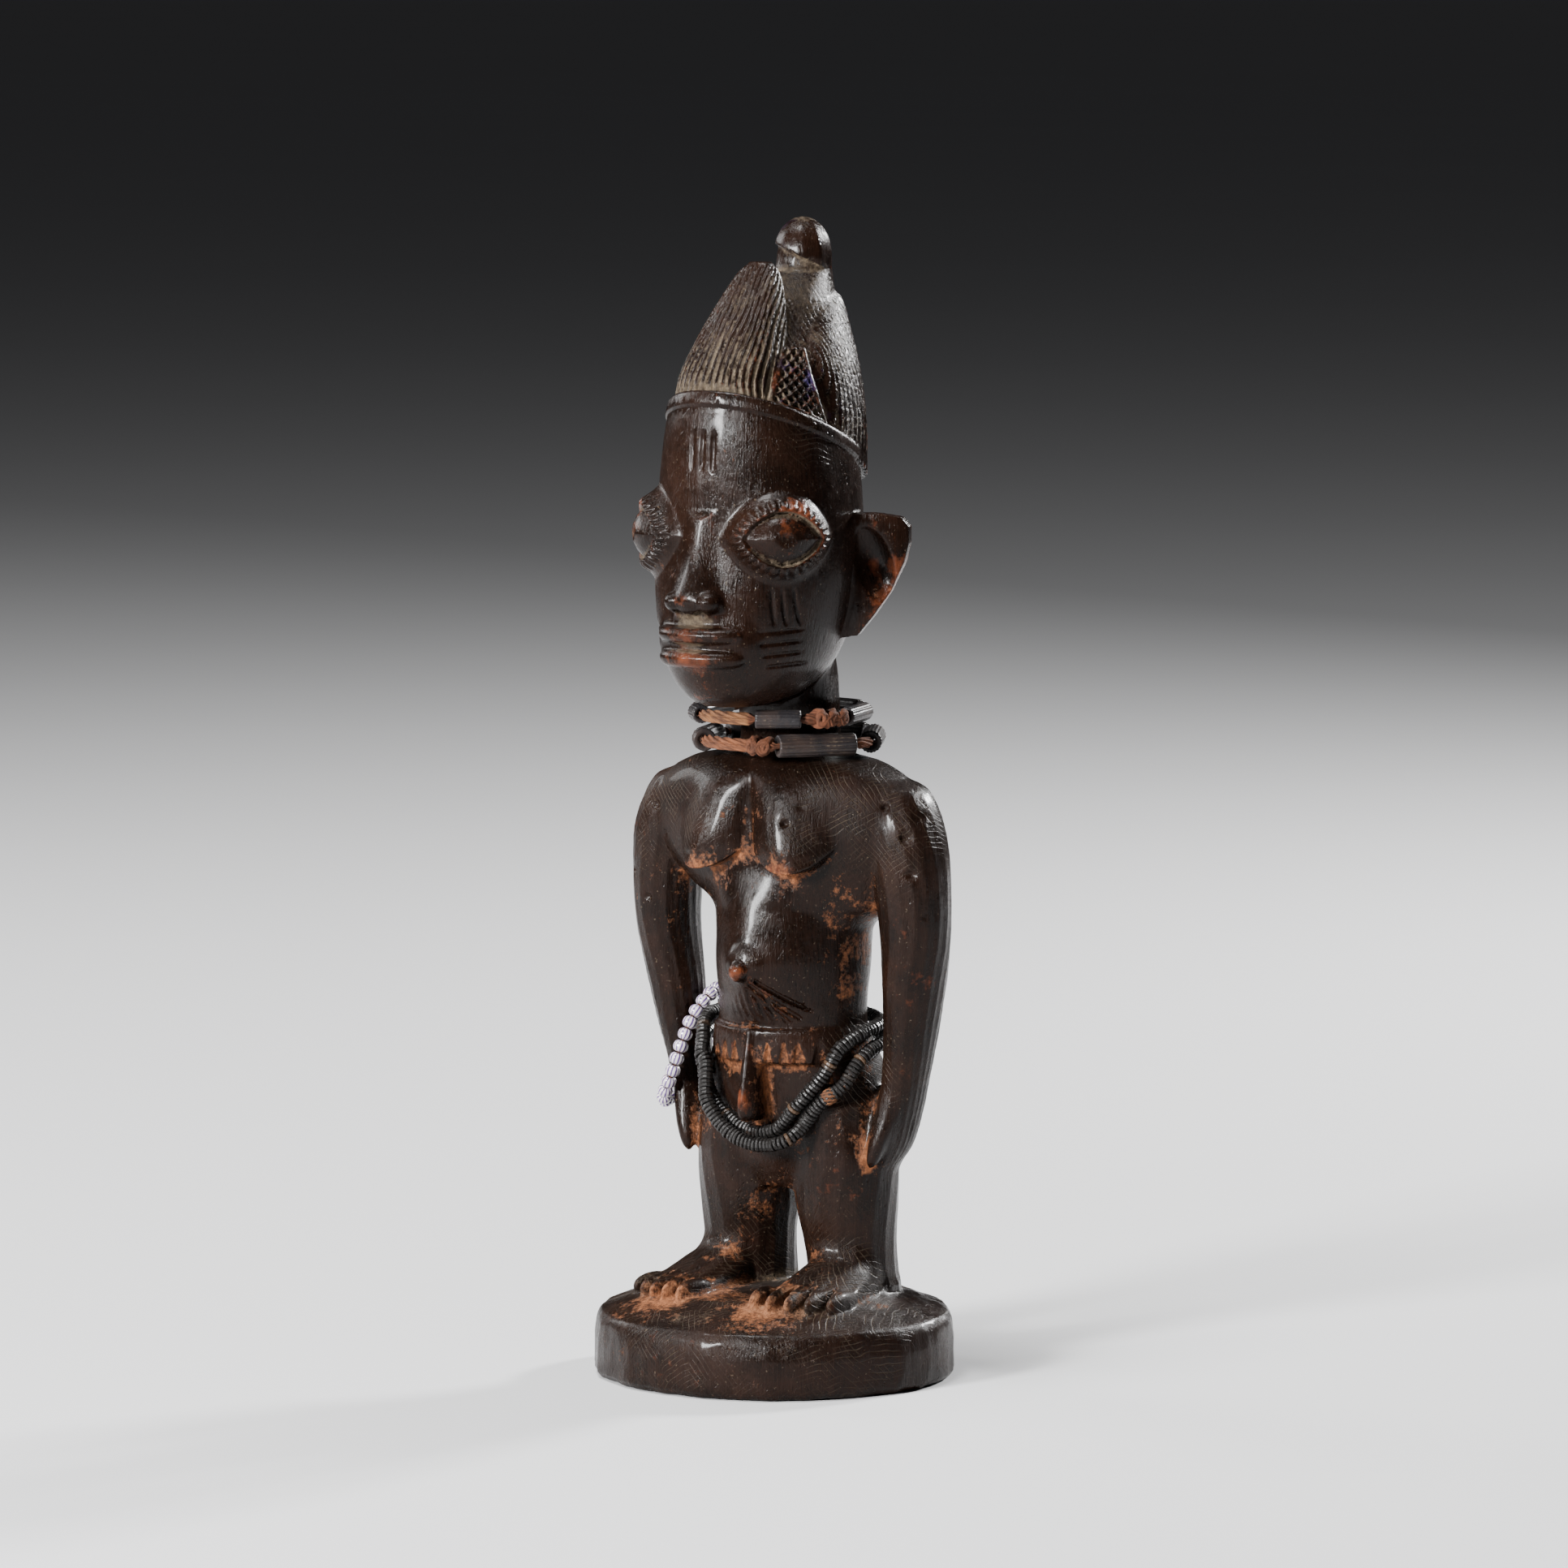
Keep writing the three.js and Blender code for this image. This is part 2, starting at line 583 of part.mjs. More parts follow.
// A lobe of hair with upright ridges: every other side of its rings stands proud. Most of the
// sides crowd on the half that shows, which is towards the middle angle.
function flutedLobe(stations, middle, power) {
  const sides = 34;
  const crowded = 28;
  const spread = (angle) => {
    const side = (angle / TURN) * sides;
    const half = THREE.MathUtils.degToRad(100);
    if (side <= crowded) return middle - half + (2 * half * side) / crowded;
    return middle + half + ((TURN - 2 * half) * (side - crowded)) / (sides - crowded);
  };
  const curve = smooth(stations);
  return skin(3, sides, (share, angle) => {
    const ring = curve(share);
    const turn = spread(angle);
    const groove = Math.round((angle / TURN) * sides) % 2;
    const reach = ovalReach(ring, turn, power) - groove * HAIR_RIDGE_DEPTH * Math.min(1, 4 * (1 - share));
    const back = reach * Math.sin(turn);
    const x = ring.side + reach * Math.cos(turn);
    return new THREE.Vector3(x, ring.middle + back, ring.height - ring.lean * back);
  });
}

// The knob: a tapered stem with a domed cap that overhangs it.
function knob() {
  const profile = [
    [0, 238],
    [9, 240],
    [7.6, 247],
    [6.8, 252],
    [6.2, 255.6],
    [7, 256],
    [6.9, 258.4],
    [5.4, 262],
    [2.8, 263.7],
    [0, 264],
  ].map(([reach, height]) => new THREE.Vector2(reach, height - 238));
  const turned = withIndex(new THREE.LatheGeometry(profile, 10).rotateX(Math.PI / 2));
  return facingOut(turned.rotateX(0.06).translate(0, 12.4, 238).scale(SHARE, SHARE, SHARE));
}

// The side of the core of the hair, at a share of its height and a turn from its left side.
function hairSide(share, turn) {
  const ring = smooth(HAIR)(share);
  const reach = ovalReach(ring, turn, 2);
  const back = reach * Math.sin(turn);
  return new THREE.Vector3(reach * Math.cos(turn), ring.middle + back, ring.height - ring.lean * back);
}

// The lattice panel over each temple: a raised patch on the side of the hair. Every other point
// of its net is sunk, which leaves ridges that cross.
function latticePanel() {
  const [columns, rows] = [7, 6];
  const point = (i, j, proud) => {
    const [u, v] = [i / columns, j / rows];
    const turn = THREE.MathUtils.degToRad(THREE.MathUtils.lerp(-55 + 5 * v, -11 - 20 * v, u));
    const spot = hairSide(0.16 + 0.36 * v, turn);
    const out = new THREE.Vector3(Math.cos(turn), Math.sin(turn), 0.25).normalize();
    return spot.addScaledVector(out, proud * SHARE);
  };
  const edge = (i, j) => i === 0 || j === 0 || i === columns || j === rows;
  const points = [];
  const faces = [];
  for (let j = 0; j <= rows; j++)
    for (let i = 0; i <= columns; i++) {
      const sunk = (i + j) % 2 && !edge(i, j);
      points.push(point(i, j, PANEL_RISE - (sunk ? LATTICE_DEPTH : 0)));
    }
  const at = (i, j) => j * (columns + 1) + i;
  for (let j = 0; j < rows; j++)
    for (let i = 0; i < columns; i++) {
      const [a, b, c, d] = [at(i, j), at(i + 1, j), at(i + 1, j + 1), at(i, j + 1)];
      if ((i + j) % 2) faces.push(a, b, c, a, c, d);
      else faces.push(a, b, d, b, c, d);
    }
  const rim = [];
  for (let i = 0; i < columns; i++) rim.push(at(i, 0));
  for (let j = 0; j < rows; j++) rim.push(at(columns, j));
  for (let i = columns; i > 0; i--) rim.push(at(i, rows));
  for (let j = rows; j > 0; j--) rim.push(at(0, j));
  points.push(point(columns / 2, rows / 2, -6));
  rim.forEach((corner, k) => faces.push(rim[(k + 1) % rim.length], corner, points.length - 1));
  return facingOut(geometryFrom(points, faces));
}

// The belly comes to a blunt ridge down its front, so its rings are less round there.
function trunkPower(height, angle) {
  const onBelly = height > 71 * SHARE && height < 107 * SHARE;
  return onBelly && Math.sin(angle) < 0 ? 1.66 : 2;
}

// The whole carving: every form joined into one solid, then the cuts.
function carvedFigure() {
  const forms = [
    column(TRUNK, { rows: 11, sides: 16, power: trunkPower }),
    column(YOKE, { rows: 5, sides: 14, power: 2.1 }),
    column(ARM, { rows: 8, sides: 8 }),
    mirrored(column(RIGHT_ARM, { rows: 8, sides: 8 })),
    ...bothSides(thumb()),
    ...bothSides(column(LEG, { rows: 3, sides: 10 })),
    ...bothSides(foot()),
    ...toes().flatMap(bothSides),
    ...bothSides(breast()),
    ...bothSides(buttock()),
    ...bellyRelief(),
    column(NECK, { rows: 4, sides: 10 }),
    column(HEAD, { rows: 8, sides: 16 }),
    ...bothSides(eye()),
    nose(),
    muzzle(),
    lip(MOUTH_HEIGHT + 2.7, 2.1, 3.6),
    lip(MOUTH_HEIGHT - 2.9, 2.2, 3.2),
    ...bothSides(ear()),
    column(HAIR, { rows: 4, sides: 12 }),
    flutedLobe(FRONT_LOBE, -Math.PI / 2, 3),
    flutedLobe(REAR_LOBE, Math.PI / 2, 2.3),
    ...bothSides(latticePanel()),
    knob(),
  ];
  const cuts = [...fingerCuts(), ...faceMarks(), ...apronNotches()];
  const standing = cutBy(joined(forms), cuts).translate([0, 0, PLINTH_HEIGHT]);
  return geometryOf(withoutPockets(standing.add(solid(plinth()))));
}

// The two rings of beads round the neck, the lower one on the shoulders and the upper one under
// the chin, with each ring's bits in order. Turns are in degrees from the front towards the
// figure's left. The rings grow with the neck, and the tubes' lengths with the rings.
const YOKE_TOP = PLINTH_HEIGHT + YOKE.at(-1).height * SHARE;
const CHIN_FOOT = PLINTH_HEIGHT + CHIN * SHARE;
const NECK_RING = {
  middle: 7.2 * SHARE,
  reach: 21.5 * SHARE,
  height: YOKE_TOP + CLEARANCE + NECK_TUBE_RADIUS,
  tube: NECK_TUBE_RADIUS,
  bits: [
    { knot: [7, 20] },
    { middle: 52, length: 19.5 },
    { middle: 120, length: 17 },
    { middle: 178, length: 17 },
    { middle: 236, length: 17 },
    { middle: 290, length: 13 },
    { middle: 315, length: 2.4 },
    { wrap: [324, 367] },
  ],
};
const CHOKER_RING = {
  middle: 2.8 * SHARE,
  reach: 20.4 * SHARE,
  height: CHIN_FOOT - 2 * CLEARANCE - NECK_KNOT_RADIUS,
  tube: CHOKER_TUBE_RADIUS,
  bits: [
    { middle: 32, length: 11 },
    { knot: [51, 78] },
    { middle: 105, length: 15 },
    { middle: 165, length: 15 },
    { middle: 220, length: 15 },
    { middle: 275, length: 15 },
    { middle: 315, length: 7 },
    { wrap: [333, 373] },
  ],
};

function ringPoint(ring, turn) {
  const angle = THREE.MathUtils.degToRad(turn);
  const [side, front] = [ring.reach * Math.sin(angle), ring.reach * Math.cos(angle)];
  return new THREE.Vector3(side, ring.middle - front, ring.height);
}

// A tube bead spans a chord of its ring.
function chord(ring, { middle, length }) {
  const half = THREE.MathUtils.radToDeg(Math.asin((length * SHARE) / 2 / ring.reach));
  const [from, to] = [ringPoint(ring, middle - half), ringPoint(ring, middle + half)];
  return { from, to, along: to.clone().sub(from).normalize(), half };
}

// The sections of a ring's cord: thin in the beads, thick where it is wrapped, thicker in a knot.
function cordSections(ring) {
  const sections = [];
  const add = (at, radius) => sections.push({ at, radius });
  const over = 1.5 * CLEARANCE;
  const gap = 12;
  let end = ring.bits.at(-1).wrap[1] - 360;
  const tubeSpan = (bit) => [bit.middle - chord(ring, bit).half, bit.middle + chord(ring, bit).half];
  for (const bit of ring.bits) {
    const [from, to] = bit.knot ?? bit.wrap ?? tubeSpan(bit);
    if (from - end > gap) add(ringPoint(ring, (from + end) / 2), NECK_CORD_RADIUS);
    if (bit.knot) {
      for (const [share, thick] of [[0, 0.76], [0.5, 1], [1, 0.76]])
        add(ringPoint(ring, THREE.MathUtils.lerp(from, to, share)), NECK_KNOT_RADIUS * thick);
    } else if (bit.wrap) {
      for (let step = 0; step <= 3; step++)
        add(ringPoint(ring, THREE.MathUtils.lerp(from, to, step / 3)), NECK_CORD_RADIUS);
    } else {
      const span = chord(ring, bit);
      add(span.from.addScaledVector(span.along, -over), TUBE_BORE_RADIUS - over);
      add(span.to.addScaledVector(span.along, over), TUBE_BORE_RADIUS - over);
    }
    end = to;
  }
  return sections;
}

// A closed cord through its sections.
function cordLoop(sections, sides) {
  const count = sections.length;
  const spot = (i) => sections[(i + count) % count].at;
  const middle = sections.reduce((sum, { at }) => sum.add(at), new THREE.Vector3()).divideScalar(count);
  return loopSkin(count, sides, (share, angle) => {
    const i = Math.round(share * count);
    const { at, radius } = sections[i];
    const along = spot(i + 1).clone().sub(spot(i - 1)).normalize();
    const out = at.clone().sub(middle);
    out.addScaledVector(along, -out.dot(along)).normalize();
    const up = new THREE.Vector3().crossVectors(along, out);
    const lift = radius * Math.sin(angle);
    return at.clone().addScaledVector(out, radius * Math.cos(angle)).addScaledVector(up, lift);
  });
}

// A bead with a bore along Z. Its ends are cut back by a share of its length.
function bead(radius, bore, length, sides, cutBack) {
  const half = length / 2;
  const shoulder = half * (1 - cutBack);
  const profile = [[bore, -half], [radius, -shoulder], [radius, shoulder], [bore, half], [bore, -half]];
  const turned = new THREE.LatheGeometry(profile.map(([x, y]) => new THREE.Vector2(x, y)), sides);
  return facingOut(withIndex(turned.rotateX(Math.PI / 2)));
}

// How far the hips reach from their middle towards a turn, at a height.
const HIP_AXIS = 8;
function hipReach(angle, height) {
  const [east, back] = [Math.sin(angle), -Math.cos(angle)];
  const forms = [TRUNK, APRON, LEG, LEG.map((row) => ({ ...row, side: -row.side }))];
  const spans = forms.filter((rows) => height >= rows[0].height && height <= rows.at(-1).height);
  const rings = spans.map((rows) => ringAt(rows, height * SHARE));
  const inside = (reach) =>
    rings.some((ring) => {
      const [x, y] = [reach * east - ring.side, HIP_AXIS * SHARE + reach * back - ring.middle];
      return Math.hypot(x, y) < ovalReach(ring, Math.atan2(y, x), 2);
    });
  const step = 0.1;
  let reach = 40 * SHARE;
  while (!inside(reach)) reach -= step;
  return reach + step;
}

// The two strands of shell discs on the hips: turn, height, and how far out of the body's skin,
// counted in strands. The outer strand lies over the inner one where they cross in front.
const INNER_STRAND = [
  [180, 70, 1], [135, 70, 1], [90, 68.6, 1], [75, 67, 1], [63, 64, 1], [54, 58.3, 1], [44, 53.6, 1],
  [32, 48.8, 1], [22, 45, 1], [0, 43.5, 1], [-25, 45.5, 1], [-43, 49.6, 1], [-53, 54.7, 1], [-60, 59.5, 1],
  [-68, 63, 1], [-78, 65, 1], [-90, 65.6, 1], [-110, 65.8, 1], [-135, 66.8, 1], [-155, 69.5, 1],
  [-180, 70, 1],
];
const OUTER_STRAND = [
  [180, 65.5, 1], [135, 65.5, 1], [88, 64.2, 1], [75, 61.2, 1], [65, 55.7, 1], [51, 51, 1], [43, 46.7, 1],
  [29, 42.4, 2], [14, 41.1, 2], [-4, 41.7, 2], [-22, 44.9, 2], [-34, 50.8, 2], [-44, 57.4, 1.4],
  [-56, 63.6, 1], [-66, 68, 1], [-78, 69.7, 1], [-90, 70, 1], [-110, 69.6, 1.8], [-135, 67.8, 2.04],
  [-155, 66, 2], [-180, 65.5, 1],
];

// A strand's sections, evenly spaced on the hips' skin rolled out flat, and each set clear of it.
function hipStrand(rows) {
  const flat = THREE.MathUtils.degToRad(25 * SHARE);
  const outline = rows.map(([turn, height, layer]) => new THREE.Vector3(turn * flat, height, layer));
  const spots = new THREE.CatmullRomCurve3(outline).getSpacedPoints(40).slice(1);
  const sections = spots.map(({ x, y, z: layer }) => {
    const angle = THREE.MathUtils.degToRad(x / flat);
    const skinReach = Math.max(hipReach(angle, y), hipReach(angle, y - DISC_BEAD_RADIUS / SHARE));
    const reach = skinReach + (2 * layer - 1) * DISC_BEAD_RADIUS + layer * CLEARANCE;
    const [side, back] = [reach * Math.sin(angle), HIP_AXIS * SHARE - reach * Math.cos(angle)];
    return { at: new THREE.Vector3(side, back, PLINTH_HEIGHT + y * SHARE), radius: DISC_BEAD_RADIUS };
  });
  return cordLoop(sections, 5);
}

// The strand of glass beads hangs aslant round the right forearm, on points set by hand: place to
// the side and to the back, and height above the soles.
const WRIST_STRAND = [
  [-25.4, 13.4, 74.7], [-24.9, 9.4, 74], [-25.6, 5.4, 71.2], [-27.2, 2.4, 66], [-28.4, 0.6, 60.5],
  [-30.4, -0.2, 54], [-34, 1.8, 48.5], [-36.2, 6.5, 46.9], [-37, 11.5, 48.5], [-36.8, 16, 53],
  [-34.5, 19.5, 59], [-30.5, 20.6, 65.5], [-27, 18.4, 72],
];

function wristPath() {
  const spot = ([x, y, height]) => new THREE.Vector3(x, y, height).multiplyScalar(SHARE);
  const points = WRIST_STRAND.map((row) => spot(row).add(new THREE.Vector3(0, 0, PLINTH_HEIGHT)));
  return new THREE.CatmullRomCurve3(points, true);
}

const wood = new THREE.MeshStandardMaterial({ color: 0x2b211c, roughness: 0.45, metalness: 0 });
const cord = new THREE.MeshStandardMaterial({ color: 0x8a5a36, roughness: 0.9, metalness: 0 });
const tubeBead = new THREE.MeshStandardMaterial({ color: 0x1c1a1b, roughness: 0.4, metalness: 0 });
const shell = new THREE.MeshStandardMaterial({ color: 0x17130f, roughness: 0.45, metalness: 0 });
const glass = new THREE.MeshStandardMaterial({ color: 0xb9b2b8, roughness: 0.25, metalness: 0 });

const twinFigure = new THREE.Group();

function place(name, geometry, material) {
  const mesh = new THREE.Mesh(geometry, material);
  mesh.name = name;
  twinFigure.add(mesh);
  return mesh;
}

// A bead's Z axis is turned to lie along its cord.
function thread(name, geometry, material, at, along) {
  const mesh = place(name, geometry, material);
  mesh.position.copy(at);
  mesh.quaternion.setFromUnitVectors(new THREE.Vector3(0, 0, 1), along);
}

place("carved_figure", carvedFigure(), wood);

for (const [name, ring] of Object.entries({ neck: NECK_RING, choker: CHOKER_RING })) {
  place(`${name}_cord`, cordLoop(cordSections(ring), 6), cord);
  ring.bits.filter((bit) => bit.length).forEach((bit, i) => {
    const { from, to, along } = chord(ring, bit);
    const at = from.clone().add(to).multiplyScalar(0.5);
    const tube = bead(ring.tube, TUBE_BORE_RADIUS, bit.length * SHARE, 7, 0);
    thread(`${name}_tube_${i + 1}`, tube, tubeBead, at, along);
  });
}

place("hip_strand_inner", hipStrand(INNER_STRAND), shell);
place("hip_strand_outer", hipStrand(OUTER_STRAND), shell);

const wristLine = wristPath();
const wristCount = Math.floor(wristLine.getLength() / (GLASS_BEAD_LENGTH + 2 * CLEARANCE));
const wristGaps = wristLine.getSpacedPoints(wristCount).slice(1);
place(
  "wrist_cord",
  cordLoop(wristGaps.map((at) => ({ at, radius: GLASS_BORE_RADIUS - 1.5 * CLEARANCE })), 4),
  cord,
);
for (let i = 0; i < wristCount; i++) {
  const [before, after] = [wristGaps.at(i - 1), wristGaps[i]];
  const glassBead = bead(GLASS_BEAD_RADIUS, GLASS_BORE_RADIUS, GLASS_BEAD_LENGTH, 5, 0.55);
  const middle = before.clone().add(after).multiplyScalar(0.5);
  thread(`wrist_bead_${i + 1}`, glassBead, glass, middle, after.clone().sub(before).normalize());
}

export default twinFigure;
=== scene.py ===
"""A carved twin figure on its round plinth, with strands of beads at the neck, hips and wrist.

Lengths in the tables are millimetres. Heights of the carving's stations count from the soles.
"""
import math
from functools import lru_cache

import bpy
import numpy as np
from bpy.props import FloatProperty, FloatVectorProperty, IntProperty, PointerProperty
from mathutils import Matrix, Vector


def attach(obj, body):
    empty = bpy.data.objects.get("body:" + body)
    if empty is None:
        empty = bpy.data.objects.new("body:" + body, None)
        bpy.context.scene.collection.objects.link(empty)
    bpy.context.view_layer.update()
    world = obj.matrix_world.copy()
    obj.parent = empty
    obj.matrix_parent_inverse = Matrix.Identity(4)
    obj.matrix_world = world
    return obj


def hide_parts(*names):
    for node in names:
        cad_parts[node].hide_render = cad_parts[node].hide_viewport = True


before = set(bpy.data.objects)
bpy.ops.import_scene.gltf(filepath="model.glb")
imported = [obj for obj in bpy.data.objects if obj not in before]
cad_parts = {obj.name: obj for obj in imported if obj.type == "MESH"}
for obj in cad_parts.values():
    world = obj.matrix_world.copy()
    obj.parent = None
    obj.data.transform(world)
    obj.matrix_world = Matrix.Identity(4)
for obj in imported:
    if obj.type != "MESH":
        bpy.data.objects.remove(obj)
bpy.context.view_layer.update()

bl_info = {
    "name": "Carved twin figure",
    "version": (1, 0, 0),
    "blender": (4, 5, 0),
    "location": "View3D > Sidebar > Twin figure",
    "description": "Builds a carved twin figure, its strands of beads and a plain stage",
    "category": "Object",
}

MM = 0.001
TURN = 2 * math.pi
# The soles' height, a distance past every form, and the room that a form's box leaves round it.
SOLE = 16.0
FAR = 9.0
MARGIN = 3.0
# How much the hairline rises from back to front.
HAIR_LEAN = 0.43

# Stations of the carving: height, the middle to the side and to the back, half the width, the
# reach to the front and to the back, and how much the ring leans.
TRUNK = [
    (29, 0, 10.5, 15, 10, 12), (38, 0, 10.5, 23.5, 14, 15), (48, 0, 10, 25.5, 16, 18),
    (58, 0, 9.5, 23.5, 16.5, 18), (68, 0.3, 8.5, 19.6, 17, 14), (76, 0.9, 7.5, 19.4, 21.5, 13.8),
    (84, 1.2, 7.3, 20, 23.2, 14.6), (92, 1.2, 7.3, 20.2, 22.3, 15.4), (100, 1, 7.3, 21.2, 20.6, 15.2),
    (108, 0.5, 7.3, 23.5, 18.6, 14.5), (116, 0, 7.3, 24, 18, 14), (124, 0, 7.3, 22, 14.5, 12.5),
    (131, 0, 7.3, 13, 12, 12),
]
APRON = [
    (60.5, 0, 8.5, 19.2, 18.2, 4), (61.5, 0, 8.5, 20.2, 19.4, 4), (68.5, 0, 8.5, 19.6, 19.4, 4),
    (69.5, 0, 8.5, 18.6, 18, 4),
]
YOKE = [
    (92, 1.6, 8, 17, 11, 14), (98, 3, 7.5, 24.5, 13, 14.4), (104, 0.8, 7.4, 30, 15, 14.2),
    (113.5, 0, 7.3, 37, 17.4, 14), (124, 0, 7.2, 37.5, 18, 13), (130, 0, 7.2, 32.5, 17.5, 12.5),
    (133.4, 0, 7.2, 25.5, 15, 11.5), (135, 0, 7.2, 17, 12, 10.5),
]
ARM = [
    (31.5, 22.4, 11.6, 0.7, 1.2, 1.8), (34, 23.6, 11.3, 2.6, 4, 4.8), (37.5, 25.4, 10.9, 4, 7, 7.2),
    (42, 27.4, 10.6, 4.6, 8.4, 8),
    (50, 29.6, 10.4, 5, 7.8, 8.2), (57, 31.2, 10.2, 5.4, 6.8, 7.6), (68, 33.2, 9.6, 6.4, 7.6, 7.8),
    (80, 34.6, 8.8, 7.6, 8.4, 8.4), (92, 35.7, 7.8, 8.5, 9, 8.8), (105, 35.1, 7.3, 9.4, 9.8, 9.4),
    (117, 33.3, 7, 10, 10.2, 9.8), (127, 30, 7.2, 8.6, 8.5, 8.5), (130.5, 27.5, 7.3, 4, 5, 5),
]
# The share of its width that the right arm lacks on its inner side.
SLIMMER = 0.1
LEG = [
    (3, 15, 12.5, 11, 9.8, 13), (9, 14.8, 11.8, 11, 10.4, 12.2), (17, 14.6, 11, 11.4, 11.6, 11.9),
    (26, 14, 10.6, 12.5, 12.8, 13), (38, 14, 10.5, 12.4, 13.6, 13.8), (50, 12.5, 10, 11.5, 13, 14),
]
NECK = [
    (126, 0, 7.4, 17.5, 16, 15), (131, 0, 7.4, 14.6, 14, 13.4), (138, 0, 7.2, 12.4, 12.4, 12.2),
    (146, 0, 6.6, 12.4, 12.6, 12.2), (156, 0, 4.6, 12.6, 12, 12.8), (167, 0, 2, 11.4, 10, 12.4),
]
HEAD = [
    (148, 0, -14, 7.5, 11.5, 12, 0), (151, 0, -12.5, 13, 18, 18, 0), (158, 0, -9.8, 18.6, 24, 22.5, 0),
    (168, 0, -8, 22.3, 26, 25.5, 0), (178, 0, -7.5, 24, 25.6, 27, 0),
    (188, 0, -7, 24.3, 24.6, 27.5, 0.05), (197, 0, -6.4, 23.9, 24.8, 27.2, 0.17),
    (206, 0, -5.2, 23, 25, 26, 0.36), (213.6, 0, -4, 22, 24.4, 24.4, 0.43),
]
HAIR = [
    (209.5, 0, -3.8, 20.2, 21.4, 23, 0.43), (214, 0, -3.4, 19.6, 20.8, 22.4, 0.43),
    (222, 0, -2, 18, 18.4, 21.4, 0.33), (232, 0, 0.8, 14.6, 14.8, 19.2, 0.22),
    (241, 0, 4.6, 10.8, 11, 15.6, 0.1), (247, 0, 8.6, 8.6, 8.6, 11.4, 0.04), (251, 0, 12, 7, 7, 8, 0),
]
FRONT_LOBE = [
    (214, -1.4, -14, 13.9, 12.8, 4, 0.43), (224, -1.3, -13.4, 13.2, 11.8, 4, 0.3),
    (234, -1, -11.2, 11.2, 8.8, 4, 0.2), (243.3, -0.6, -8.2, 8.8, 5.8, 3.4, 0.1),
    (250.6, -0.3, -6.2, 5.6, 3.4, 3, 0.03), (253.8, 0, -5.8, 2.6, 1.8, 1.8, 0),
]
REAR_LOBE = [
    (208, 0, -0.5, 21.8, 9, 21, 0.43), (219, 0, 1.4, 20.4, 10, 20.4, 0.3),
    (229, 0, 3.6, 17.6, 13.5, 18.8, 0.2), (238, 0, 6.2, 13.4, 9, 16.2, 0.1),
    (244.5, 0, 9.4, 9.4, 5, 12.2, 0), (247.5, 0, 11.5, 5, 4, 7, 0),
]
FORK = [
    (46.5, 0, -10, 1.7, 3.4, 6), (49, 0, -10, 2.7, 5, 6), (56, 0, -9.8, 2.4, 4.4, 6),
    (63, 0, -9.4, 1.9, 3.4, 6), (69.5, 0, -8.6, 1.3, 3.0, 6),
]
THUMB = [
    (35.8, 26.6, 2, 0.4, 0.5, 0.8), (37.2, 27, 2.2, 1.4, 1.5, 2.2), (40.5, 27.8, 2.7, 2.2, 2.2, 3),
    (46, 29.2, 4, 2.6, 2.4, 4), (54, 30.6, 6.8, 2.4, 2.4, 4),
]
STEM = [
    (238, 0, 12, 9, 9, 9), (247, 0, 12.1, 7.5, 7.5, 7.5), (252, 0, 12.2, 6.6, 6.6, 6.6),
    (259, 0, 12.3, 5.8, 5.8, 5.8),
]

# The face stands on thirds, from the chin to the hairline.
CHIN, HAIRLINE = 148.0, 219.0
FACE = HAIRLINE - CHIN
EYE_HEIGHT = CHIN + 0.58 * FACE
NOSE_FOOT = CHIN + FACE / 3
NOSE_ROOT = CHIN + 0.64 * FACE
MOUTH_HEIGHT = CHIN + 0.215 * FACE
EYE_TURN = math.radians(47)


def through(rows, steps=16):
    """Rows read as one smooth line: cubic pieces whose slope at a row is half the step between
    its neighbours. Heights never turn back."""
    points = np.array([tuple(row) + (0,) * (7 - len(row)) for row in rows], float)
    ends = np.vstack([2 * points[0] - points[1], points, 2 * points[-1] - points[-2]])
    a, b, c, d = (ends[i:len(ends) - 3 + i, None] for i in range(4))
    t = np.linspace(0, 1, steps, endpoint=False)[None, :, None]
    bend, twist = 2 * a - 5 * b + 4 * c - d, 3 * b - a - 3 * c + d
    line = 0.5 * (2 * b + (c - a) * t + bend * t**2 + twist * t**3)
    line = np.vstack([line.reshape(-1, 7), points[-1:]])
    line[:, 0] = np.maximum.accumulate(line[:, 0])
    return line


def read(line, height, column):
    """One column of a smooth line, at some heights."""
    return np.interp(height, line[:, 0], line[:, column]).astype(np.float32)


def steps_between(values, low, high):
    """0 below low, 1 above high, and a smooth S between."""
    t = np.clip((values - low) / (high - low), 0, 1)
    return t * t * (3 - 2 * t)


def drawn(seed, *shape):
    """Random numbers from 0 to 1, the same on each run."""
    return np.random.default_rng(seed).random(shape)


